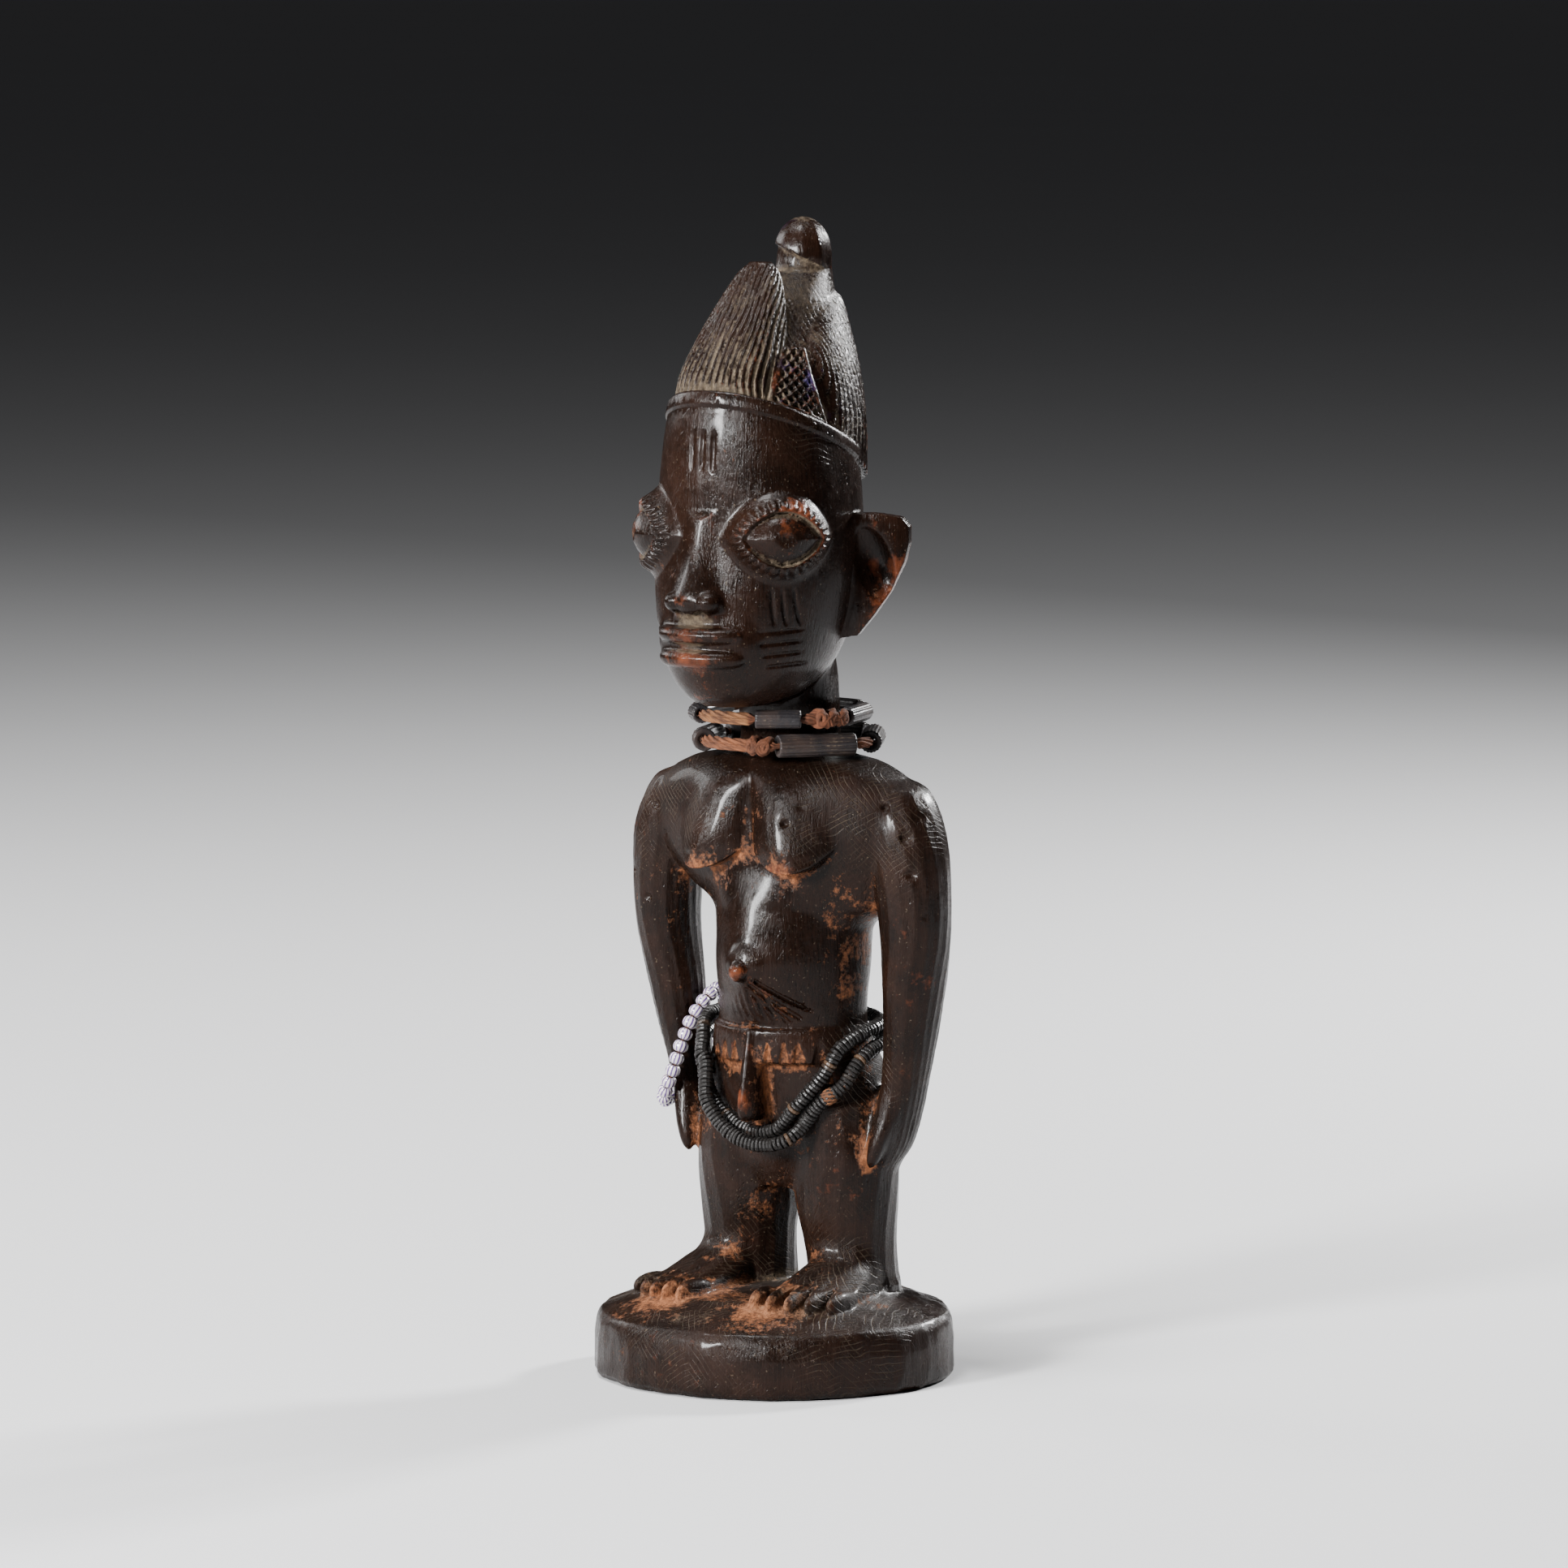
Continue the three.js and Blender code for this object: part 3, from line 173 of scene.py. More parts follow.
class Block:
    """A block of wood as a grid of distances to its carved skin, below zero inside."""

    def __init__(self, axes):
        self.axes = [np.asarray(axis, np.float32) for axis in axes]
        self.field = np.full([len(axis) for axis in self.axes], FAR, np.float32)

    def part(self, low, high):
        """The cells between two corners, and their coordinates along each axis."""
        cut = tuple(slice(*np.searchsorted(axis, ends)) for axis, ends in zip(self.axes, zip(low, high)))
        x, y, z = (axis[span] for axis, span in zip(self.axes, cut))
        return cut, x[:, None, None], y[None, :, None], z[None, None, :]

    def join(self, form, blend):
        """Smooth union: the lesser of both distances, less a round where they are alike."""
        low, high, shape = form
        cut, x, y, z = self.part(low, high)
        new = np.asarray(shape(x, y, z), np.float32)
        old = self.field[cut]
        if callable(blend):
            blend = blend(z - SOLE).astype(np.float32)
        over = np.maximum(blend - np.abs(old - new), 0)
        self.field[cut] = np.minimum(old, new) - over * over / (4 * blend)

    def cut(self, form, blend):
        """Smooth cut: the greater of the distance and the tool's, turned inside out."""
        low, high, shape = form
        cut, x, y, z = self.part(low, high)
        new = -np.asarray(shape(x, y, z), np.float32)
        old = self.field[cut]
        over = np.maximum(blend - np.abs(old - new), 0)
        self.field[cut] = np.maximum(old, new) + over * over / (4 * blend)

    def sample(self, points):
        """The field at points, mixed linearly from the eight grid points round each."""
        index, share = [], []
        for axis, values in zip(self.axes, points.T):
            place = np.interp(values, axis, np.arange(len(axis)))
            low = np.minimum(place.astype(np.int64), len(axis) - 2)
            index.append(low)
            share.append((place - low).astype(np.float32))
        total = np.zeros(len(points), np.float32)
        for corner in range(8):
            bits = [(corner >> k) & 1 for k in range(3)]
            weight = np.ones(len(points), np.float32)
            for bit, part in zip(bits, share):
                weight *= part if bit else 1 - part
            total += weight * self.field[index[0] + bits[0], index[1] + bits[1], index[2] + bits[2]]
        return total

    def outward(self, points, reach=0.35):
        """Unit normals: the field's differences across each point along the three axes."""
        slopes = []
        for axis in range(3):
            step = np.zeros(3, np.float32)
            step[axis] = reach
            slopes.append(self.sample(points + step) - self.sample(points - step))
        slopes = np.stack(slopes, 1)
        return slopes / np.maximum(np.linalg.norm(slopes, axis=1, keepdims=True), 1e-6)

    def skin(self):
        """The zero surface as quads: one point in each cell that it crosses, at the mean of its
        crossings of the cell's edges, and one quad round each grid edge that it crosses."""
        inside = self.field < 0
        size = np.array(inside.shape)
        count = np.zeros(size - 1, np.int8)
        for i in (0, 1):
            for j in (0, 1):
                for k in (0, 1):
                    count += inside[i:size[0] - 1 + i, j:size[1] - 1 + j, k:size[2] - 1 + k]
        cells = np.argwhere((count > 0) & (count < 8))
        corners = np.stack([
            self.field[cells[:, 0] + i, cells[:, 1] + j, cells[:, 2] + k]
            for i in (0, 1) for j in (0, 1) for k in (0, 1)
        ], 1)
        total = np.zeros((len(cells), 3), np.float32)
        crossed = np.zeros(len(cells), np.float32)
        for axis, stride in enumerate((4, 2, 1)):
            for start in (n for n in range(8) if not n & stride):
                a, b = corners[:, start], corners[:, start + stride]
                hit = (a < 0) != (b < 0)
                share = np.where(hit, a / np.where(hit, a - b, 1), 0)
                spot = np.array([(start >> 2) & 1, (start >> 1) & 1, start & 1], np.float32)
                total += np.where(hit[:, None], spot, 0)
                total[:, axis] += share
                crossed += hit
        place = cells + total / crossed[:, None]
        points = np.stack([
            np.interp(place[:, k], np.arange(size[k]), self.axes[k]) for k in range(3)
        ], 1)
        spread = (size[1] - 1) * (size[2] - 1), size[2] - 1, 1
        keys = cells @ np.array(spread)
        quads = []
        for axis in range(3):
            step = np.zeros(3, int)
            step[axis] = 1
            low = inside[:size[0] - step[0], :size[1] - step[1], :size[2] - step[2]]
            high = inside[step[0]:, step[1]:, step[2]:]
            edges = np.argwhere(low != high)
            one, two = (axis + 1) % 3, (axis + 2) % 3
            edges = edges[(edges[:, one] > 0) & (edges[:, two] > 0)]
            edges = edges[(edges[:, one] < size[one] - 1) & (edges[:, two] < size[two] - 1)]
            base = edges @ np.array(spread)
            ring = np.stack([
                base - spread[one] - spread[two], base - spread[two], base, base - spread[one],
            ], 1)
            ring = np.searchsorted(keys, ring)
            leaving = inside[edges[:, 0], edges[:, 1], edges[:, 2]]
            ring[~leaving] = ring[~leaving][:, ::-1]
            quads.append(ring)
        return points, np.vstack(quads)


def as_made(form):
    return form


def mirrored(form):
    """A form on the other side of the figure."""
    low, high, shape = form
    return (-high[0], *low[1:]), (-low[0], *high[1:]), lambda x, y, z: shape(-x, y, z)


BOTH_SIDES = (as_made, mirrored)


def ring_height(line, y, level):
    """The height of the leaning ring that passes through a level, found in a few steps."""
    height = level
    for _ in range(6):
        height = level + read(line, height, 6) * (y - read(line, height, 2))
    return height


def column(rows, power=2.0, relief=None):
    """A form of oval rings, level or leaning. The distance is what is left of the way from the
    ring's middle after its reach in that direction. Relief raises the skin."""
    line = through(rows)
    heights, lean = line[:, 0], line[:, 6]
    low = (
        (line[:, 1] - line[:, 3]).min() - MARGIN, (line[:, 2] - line[:, 4]).min() - MARGIN,
        (heights - lean * line[:, 5]).min() + SOLE - MARGIN,
    )
    high = (
        (line[:, 1] + line[:, 3]).max() + MARGIN, (line[:, 2] + line[:, 5]).max() + MARGIN,
        (heights + lean * line[:, 4]).max() + SOLE + MARGIN,
    )

    def shape(x, y, z):
        level = z - SOLE
        height = ring_height(line, y, level) if lean.any() else level
        side, middle, wide, front, back = (read(line, height, k) for k in range(1, 6))
        across, behind = x - side, y - middle
        deep = np.where(behind < 0, front, back)
        bend = power(height, behind).astype(np.float32) if callable(power) else power
        share = (np.abs(across / wide) ** bend + np.abs(behind / deep) ** bend) ** (1 / bend)
        away = np.sqrt(across**2 + behind**2)
        field = away * (1 - 1 / np.maximum(share, 1e-3))
        if relief:
            field = field - relief(height, np.arctan2(behind, across), away)
        return np.maximum(field, np.maximum(heights[0] - height, height - heights[-1]))

    return low, high, shape


def ball(middle, radii):
    """An egg of three half sizes: its distance is the scaled distance from its middle, made even
    by its slope."""
    middle = np.array(middle, float) + (0, 0, SOLE)
    spans = np.array(radii) + MARGIN

    def shape(x, y, z):
        ways = [(v - middle[k], radii[k]) for k, v in enumerate((x, y, z))]
        scaled = np.sqrt(sum((way / radius) ** 2 for way, radius in ways))
        slope = np.sqrt(sum((way / radius**2) ** 2 for way, radius in ways))
        return scaled * (scaled - 1) / np.maximum(slope, 1e-4)

    return middle - spans, middle + spans, shape


def beside_line(a, b, x, y, z):
    """How far along the line from a to b a place is, from 0 to 1, and its distance from the line."""
    way = b - a
    share = ((x - a[0]) * way[0] + (y - a[1]) * way[1] + (z - a[2]) * way[2]) / (way @ way)
    share = np.clip(share, 0, 1)
    return share, np.sqrt(sum((v - a[i] - share * way[i]) ** 2 for i, v in enumerate((x, y, z))))


def groove(start, end, wide):
    """A cut along a straight line: the distance from the line, less half the width, which
    narrows to the line's ends. Start and end are places with heights above the soles."""
    a, b = (np.array(p, float) + (0, 0, SOLE) for p in (start, end))

    def shape(x, y, z):
        share, gap = beside_line(a, b, x, y, z)
        return gap - wide / 2 * (np.sqrt(np.clip(1 - (2 * share - 1) ** 4, 0, 1)) * 0.8 + 0.2)

    pad = (wide + MARGIN) / 2
    return np.minimum(a, b) - pad, np.maximum(a, b) + pad, shape


def laid(skin_point, start, end, wide, pieces=5):
    """A cut that follows the skin between two places, each given as how far to the side and how
    high: short straight cuts end to end, narrowing to both ends."""
    sides = np.linspace(start[0], end[0], pieces + 1)
    heights = np.linspace(start[1], end[1], pieces + 1)
    spots = np.array([skin_point(x, h) for x, h in zip(sides, heights)]) + (0, 0, SOLE)

    def shape(x, y, z):
        nearest = math.inf
        for k, (a, b) in enumerate(zip(spots[:-1], spots[1:])):
            share, gap = beside_line(a, b, x, y, z)
            whole = (k + share) / pieces
            gap = gap - wide / 2 * (np.sqrt(np.clip(1 - (2 * whole - 1) ** 4, 0, 1)) * 0.75 + 0.25)
            nearest = np.minimum(nearest, gap)
        return nearest

    pad = (wide + MARGIN) / 2
    return spots.min(0) - pad, spots.max(0) + pad, shape


def head_front(x, height):
    """The front of the head beside the middle, at a height: a leaning ring meets it higher."""
    line = through(HEAD)
    level = height
    for _ in range(8):
        lean, front = (np.interp(level, line[:, 0], line[:, k]) for k in (6, 4))
        level = height - lean * front
    middle, wide, front = (np.interp(level, line[:, 0], line[:, k]) for k in (2, 3, 4))
    return middle - front * np.sqrt(np.clip(1 - (x / wide) ** 2, 0, 1))


def flutes(middle, reach, wide, narrow, depth, low, top):
    """Grooves that run up a lobe of hair side by side: each is a narrow dip at its own place
    along the lobe's arc, with the wood between left round. They fade beyond the reach, in degrees
    from the middle, and at the top. Wide and narrow are their spacing at the lobe's foot and top."""
    half = math.radians(reach)

    def relief(height, angle, away):
        turn = (angle - middle + math.pi) % TURN - math.pi
        pitch = np.interp(height, [low, top], [wide, narrow]).astype(np.float32)
        phase = turn * away / pitch + 0.1 * np.sin(height * 0.3 + 4 * turn)
        place = phase - np.floor(phase) - 0.5
        dip = np.exp(-((place * pitch / 0.42) ** 2))
        beside = 1 - steps_between(np.abs(turn), half - 0.2, half)
        fade = beside * (1 - steps_between(height, top - 1.5, top))
        return fade * (0.5 - depth * dip - 1.2 * place**2)

    return relief


PANEL_RISE = 1.15


def lattice_panel():
    """The raised patch over the temple: the core of the hair pushed out, with diamond cells
    sunk between ridges that cross, and a plain border."""
    line = through(HAIR)
    share_of = np.linspace(0, 1, len(line))

    def shape(x, y, z):
        height = ring_height(line, y, z - SOLE)
        middle, wide, front, back = (read(line, height, k) for k in range(2, 6))
        behind = y - middle
        deep = np.where(behind < 0, front, back)
        share = np.sqrt((x / wide) ** 2 + (behind / deep) ** 2)
        away = np.sqrt(x * x + behind**2)
        field = away * (1 - 1 / np.maximum(share, 1e-3))
        v = (np.interp(height, line[:, 0], share_of) - 0.16) / 0.36
        turn = np.degrees(np.arctan2(behind, x))
        left, right = -55 + 5 * v, -11 - 20 * v
        u = (turn - left) / (right - left)
        arc, rise = np.radians(turn) * 18.5, height * 1.05
        one, two = arc / 2.3 + rise / 3.5, arc / 2.3 - rise / 3.5
        ridge = np.minimum(np.abs(one - np.round(one)), np.abs(two - np.round(two)))
        beside = np.minimum(u, 1.02 - u) * (right - left) * 0.32
        border = np.minimum(beside, np.minimum(v, 1 - v) * 15.5)
        sunk = steps_between(ridge, 0.07, 0.24) * steps_between(border, 0.9, 1.3)
        plate = field - PANEL_RISE + 1.15 * sunk
        return np.maximum(plate, -border * 0.9)

    return (5, -28, 214 + SOLE - 14), (26, 12, 250), shape


def eye():
    """An almond ball between lids: a height over the head's skin, from how far across and up
    the almond a place is. Notches stand round the lids like lashes."""
    line = through(HEAD)
    wide, high = 14.6, 9.4
    middle = float(np.interp(EYE_HEIGHT, line[:, 0], line[:, 2]))
    half, front, back = (float(np.interp(EYE_HEIGHT, line[:, 0], line[:, k])) for k in (3, 4, 5))

    def shape(x, y, z):
        behind = y - middle
        away = np.sqrt(x * x + behind**2)
        deep = np.where(behind < 0, front, back)
        out = away - away / np.maximum(np.sqrt((x / half) ** 2 + (behind / deep) ** 2), 1e-3)
        turn = np.arctan2(x, -behind)
        across = (turn - EYE_TURN) * 25.5 * 1.15
        up = z - SOLE - EYE_HEIGHT
        u, v = np.abs(across) / wide, np.abs(up) / high
        oval = np.sqrt(u * u + v * v)
        almond = (v + np.sqrt(v * v + 4 * u * u)) / 2
        ring = 0.7 * almond + 0.3 * oval
        lids = np.interp(ring, [0.6, 0.66, 0.72, 0.82, 0.92, 1.0, 1.12, 1.3],
                         [-6, 3.2, 4.3, 4.2, 3.3, 2.0, 0.3, -3])
        lash_turn = np.arctan2(up / high, across / wide)
        lash = (np.cos(lash_turn * 15) ** 2) ** 3
        lids = lids - 0.95 * lash * steps_between(ring, 0.74, 0.8) * (1 - steps_between(ring, 0.95, 1.02))
        inner_v = np.abs(up) / 6.0
        inner_u = np.abs(across) / 10.2
        inner = (inner_v + np.sqrt(inner_v**2 + 4 * inner_u**2)) / 2
        eyeball = np.interp(inner, [0, 0.35, 0.7, 1, 1.15], [6.2, 5.9, 4.9, 3.3, -4])
        spot = np.hypot(across, up)
        eyeball = eyeball - 0.5 * np.exp(-((spot / 1.5) ** 4))
        return (out - np.maximum(lids, eyeball)) * 0.7

    return (2, -38, EYE_HEIGHT + SOLE - 15), (36, 14, EYE_HEIGHT + SOLE + 15), shape


def lip(height, tall, proud):
    """A lip: a round bar over the front of the head, square at its ends."""
    xs = np.linspace(-14, 14, 57)
    front = np.array([head_front(x, MOUTH_HEIGHT) for x in xs])

    def shape(x, y, z):
        out = np.interp(x, xs, front) - y
        up = z - SOLE - height
        ends = (np.abs(x) / 11.9) ** 7
        return (np.sqrt(ends + (up / tall) ** 2 + ((out - 0.25 * proud) / (0.75 * proud)) ** 2) - 1) * 1.7

    return (-14, -42, height + SOLE - 5), (14, -14, height + SOLE + 5), shape


def ear():
    """An ear: a flap whose outline is a reach outwards for each height, hollowed in front so
    that a ridge runs down its rim."""
    turn = 0.42
    middle = np.array([22.4, 3, EYE_HEIGHT - 10.5 + SOLE])
    ups = [-14.6, -14, -9, -3.5, 3.5, 8, 12, 14.4, 15.6]
    outs = [-3, 0.4, 4.4, 8.1, 11.3, 12.3, 12.3, 10.6, 4]

    def shape(x, y, z):
        dx, dy = x - middle[0], y - middle[1]
        out = dx * math.cos(turn) + dy * math.sin(turn)
        back = dy * math.cos(turn) - dx * math.sin(turn)
        up = z - middle[2]
        edge = (out - np.interp(up, ups, outs)) * 0.85
        thick = np.abs(back + 1.9 - 0.02 * out**2) - 2.4 + 0.02 * np.abs(out)
        ends = np.maximum(up - 15.4, -14.6 - up)
        flap = np.maximum(np.maximum(edge, ends), thick)
        cos, sin = math.cos(0.35), math.sin(0.35)
        du, dv = out - 4.9, up - 2.6
        along, beside = dv * cos - du * sin, du * cos + dv * sin
        hollow = (np.sqrt((beside / 5.2) ** 2 + (along / 10.6) ** 2 + ((back + 5.4) / 4.6) ** 2) - 1) * 4
        return np.maximum(flap, -hollow)

    return (12, -12, middle[2] - 18), (40, 18, middle[2] + 18), shape


def cap():
    """The knob's cap: a dome with a blunt rim, cut off below by a slanting plane."""

    def shape(x, y, z):
        h = z - SOLE
        dx, dy = x, y - 12.3
        facet = 0.12 * np.cos(9 * np.arctan2(dy, dx))
        away = np.sqrt(dx * dx + dy * dy) + facet
        dome = np.sqrt((away / 7.05) ** 2 + (np.maximum(h - 254, 0) / 10.0) ** 2.3)
        slant = 254.2 - 0.48 * (0.83 * dx + 0.56 * dy)
        return np.maximum((dome - 1) * 6.5, (slant - h) * 0.9)

    return (-11, 1, 244 + SOLE), (11, 24, 268 + SOLE), shape


# The feet point forwards and a little outwards, on the plinth's crown.
FOOT_HEEL = (15.6, 22.0)
FOOT_SPLAY = math.radians(5)
FOOT_LENGTH, FOOT_HIGH, FOOT_HEEL_WIDE, FOOT_TOE_WIDE = 49.0, 7.8, 7.6, 11.2
CROWN = 5.0


def foot_axes(x, y, z):
    """How far along from the heel, across to the outside and up from the sole a place is."""
    dx, dy = x - FOOT_HEEL[0], y - FOOT_HEEL[1]
    along = dx * math.sin(FOOT_SPLAY) - dy * math.cos(FOOT_SPLAY)
    across = dx * math.cos(FOOT_SPLAY) + dy * math.sin(FOOT_SPLAY)
    return along, across, z - SOLE - CROWN + 1.2


def toe_line(across):
    out = across / FOOT_TOE_WIDE
    return FOOT_LENGTH - 4 - 3.4 * out**2 - 3.6 * out


def foot():
    """A foot: a wedge whose top falls from the instep to the toes, with steep sides and shallow
    grooves between the bones."""
    pitch = 2 * FOOT_TOE_WIDE / 5

    def shape(x, y, z):
        along, across, up = foot_axes(x, y, z)
        reach = toe_line(across)
        share = np.clip((along - 2) / (reach - 6), 0, 1.1)
        wide = FOOT_HEEL_WIDE + (FOOT_TOE_WIDE - FOOT_HEEL_WIDE) * share
        heel = 1 - 0.3 * (1 - steps_between(along, 1, 8))
        side = np.abs(across) / (wide * heel)
        instep = np.interp(share, [0, 0.35, 0.6, 0.85, 1.1], [1.6, 1.55, 1.12, 0.66, 0.42])
        top = FOOT_HIGH * instep * np.clip(1 - side**3, 0, 1) ** 0.4
        bones = np.abs((across / (pitch * (0.75 + 0.25 * share)) + 0.5) % 1 - 0.5)
        top = top - 0.55 * np.exp(-((bones / 0.16) ** 2)) * steps_between(share, 0.45, 0.7)
        parts = [(up - top) * 0.8, (side - 1) * wide * 0.9, along - reach + 3.5, 2 - along, -5 - up]
        return np.maximum.reduce(np.broadcast_arrays(*parts))

    return (2, -32, SOLE - 1), (33, 26, SOLE + 20), shape


def toe(i):
    """A toe: an egg that lies along the foot, the big one on the inner side."""
    pitch = 2 * FOOT_TOE_WIDE / 5
    place = pitch * (i - 2)
    wide = pitch * (0.54 if i == 0 else 0.44)
    tip = toe_line(place) + 2.2

    def shape(x, y, z):
        along, across, up = foot_axes(x, y, z)
        dx, dy, dz = (along - tip + 7) / 7, (across - place) / wide, (up - 0.8) / (4.0 - 0.2 * i)
        return (np.sqrt(dx * dx + dy * dy + np.abs(dz) ** 2.4) - 1) * wide

    return (2, -34, SOLE - 1), (33, -4, SOLE + 14), shape


def toe_cut(i):
    """The cut between two toes."""
    pitch = 2 * FOOT_TOE_WIDE / 5
    place = pitch * (i - 1.5)

    def shape(x, y, z):
        along, across, up = foot_axes(x, y, z)
        start = toe_line(place) - 9
        deep = 4.4 - 3.9 * steps_between(along, start, start + 5)
        wide = 0.3 + 0.35 * steps_between(along, start + 2, start + 9)
        return np.maximum(np.abs(across - place) - wide, np.maximum(deep - up, start - along)) * 0.9

    return (2, -34, SOLE), (33, -4, SOLE + 14), shape


PLINTH_RADIUS, PLINTH_BEVEL = 45.0, 2.2


def plinth():
    """The plinth: a disc with facets left by the adze on its side, a blunt upper edge, and a
    top that rises to the feet."""
    radius = PLINTH_RADIUS
    tops = [0, 0.25 * radius, 0.58 * radius, 0.8 * radius, radius - PLINTH_BEVEL, radius - 0.66, radius + 1]
    rises = [21, 21, 20.6, 18.5, 16, 13.8, 9.5]
    side_heights = [0, 1.6, 9.6, 13.8, 17]
    side_reaches = [0.972, 1, 1, 0.9855, 0.975]
    bounds = np.cumsum(0.6 + drawn(3, 23))
    bounds = bounds / bounds[-1] * TURN
    starts = np.concatenate([[0], bounds[:-1]])
    middles, halves = (starts + bounds) / 2, (bounds - starts) / 2

    def shape(x, y, z):
        away = np.sqrt(x * x + y * y)
        angle = np.arctan2(y, x) % TURN
        oval = 1 - 0.012 * (1 - np.cos(2 * angle)) - 0.004 * (1 - np.cos(6 * angle))
        facet = np.searchsorted(bounds, angle)
        facet = np.minimum(facet, len(bounds) - 1)
        flat = np.cos(halves[facet]) / np.cos(angle - middles[facet])
        flat = 1 - (1 - flat) * 0.55
        reach = radius * oval * flat * np.interp(z, side_heights, side_reaches)
        side = away - reach
        top = (z - np.interp(away / oval, tops, rises)) * 0.85
        over = np.maximum(0.9 - np.abs(side - top), 0)
        return np.maximum(np.maximum(side, top) + over * over / 3.6, -z)

    return (-48, -48, -2), (48, 48, 26), shape


def belly_marks():
    """Cuts fanned out from the navel over the belly, and the groove of the breastbone."""
    line = through(TRUNK)

    def on_belly(x, height):
        middle, wide, front = (np.interp(height, line[:, 0], line[:, k]) for k in (2, 3, 4))
        bend = float(trunk_power(height, -1))
        return x, middle - front * max(0, 1 - abs(x / wide) ** bend) ** (1 / bend), height

    fan = [(2.6, 82.5, 14.2, 73.5), (2.2, 80.8, 12.0, 71.6), (1.6, 79.6, 9.4, 70.6)]
    for x1, h1, x2, h2 in fan:
        for side in (1, -1):
            yield laid(on_belly, (side * x1, h1), (side * x2, h2), 1.1), 0.3
    for k in range(7):
        x = -7.2 + 2.4 * k
        yield laid(on_belly, (x * 0.8, 78.4 - 0.02 * x * x), (x, 71.0), 1.0), 0.3
    yield groove((0, -11.6, 133), (0, -13.4, 108), 1.6), 0.6


def face_marks():
    """Cuts on the brow and on both cheeks, laid on the skin of the head."""

    def on_face(x, height):
        return x, float(head_front(x, height)) - 0.1, height

    for x in (-3, 0, 3):
        yield laid(on_face, (x, HAIRLINE - 14.5), (x, HAIRLINE - 4.5), 1.3)
    for side in (1, -1):
        for k in range(3):
            x = 16.8 + 1.7 * k
            yield laid(on_face, (side * x, EYE_HEIGHT - 12), (side * (x + 0.2), EYE_HEIGHT - 21), 1.1)
        for k in range(4):
            height = EYE_HEIGHT - 22.5 - 2.8 * k
            yield laid(on_face, (side * 14.4, height), (side * (20.6 - 0.6 * k), height + 0.6), 0.95)


def apron_notches():
    """Pointed notches that leave a row of points on the band below the belly: each is a wedge
    that is widest at the band's foot and as deep all over."""
    for k, middle in enumerate((-15.6, -12.0, -8.4, -4.8, 4.8, 8.4, 12.0, 15.6)):
        front = 8.5 - 19.4 * math.sqrt(1 - (middle / 20.2) ** 2)
        uneven = drawn(50 + k, 3) - 0.5

        def shape(x, y, z, middle=middle, uneven=uneven):
            skin = 8.5 - 19.4 * np.sqrt(np.clip(1 - (x / 20.2) ** 2, 0, 1))
            rise = (z - SOLE - 58.0) / (8.4 + 1.6 * uneven[0])
            beside = np.abs(x - middle - 0.9 * uneven[1] * rise) - (1.7 + 0.5 * uneven[2]) * (1 - rise)
            return np.maximum(beside * 0.95, (y - skin - 1.1 + 0.7 * rise) * 0.8)

        yield (middle - 4, front - 4, SOLE + 56), (middle + 4, front + 5, SOLE + 69), shape


def finger_cuts():
    for gap in (-3.6, 0.2, 4.0):
        for side in (1, -1):
            yield groove((side * 29.2, 11.4 + gap, 29), (side * 34.0, 10.2 + gap, 48), 1.2)


def breast():
    """A breast as planes on the chest's own skin: it stands out most along a line that runs down
    and outwards, falls steeply to the middle and gently to the arm, and its foot is a round curve."""
    chest = through(YOKE)

    def shape(x, y, z):
        height = z - SOLE
        at = np.maximum(height, 111)
        middle, wide, deep = (read(chest, at, k) for k in (2, 3, 4))
        skin = middle - deep * np.sqrt(np.clip(1 - (x / wide) ** 2, 0.04, 1))
        ridge = np.interp(height, [108, 133], [12.6, 7.4])
        proud = np.interp(height, [107, 112, 120, 128, 134], [9.8, 9.2, 6.4, 3.6, 0.2])
        outside = np.maximum(x - ridge, 0)
        share = np.where(x < ridge, 0.3 + 0.7 * (x / ridge), 1 - (outside / 13) ** 1.35)
        share = share - 0.1 * np.exp(-(((x - ridge) / 2.2) ** 2))
        share = share - 0.9 * np.exp(-np.maximum(x, 0) / 0.9)
        front = skin + 0.8 - proud * share
        below = 107.5 + 0.052 * (x - ridge) ** 2 - height
        return np.maximum(np.maximum((front - y) * 0.8, below * 0.85), np.maximum(y - 2, -x - 0.5))

    return (-1.5, -24, SOLE + 106), (26, 6, SOLE + 135), shape


def trunk_power(height, behind):
    """The belly comes to a blunt ridge down its front; the rest is round."""
    return np.where(behind < 0, np.interp(height, [68, 76, 98, 108], [2, 1.6, 1.62, 2]), 2.0)


def rear_lobe_power(height, behind):
    """Squarer in front than behind."""
    return np.where(behind < 0, 3.2, 2.3) + 0 * height


def knife_facets(height, angle, away):
    """Long flat cuts side by side down a limb, a little raised where two meet."""
    place = angle * 2.7 + 0.35 * np.sin(height * 0.11)
    place = np.abs(place - np.floor(place) - 0.5)
    return 1.1 * place**2 - 0.12


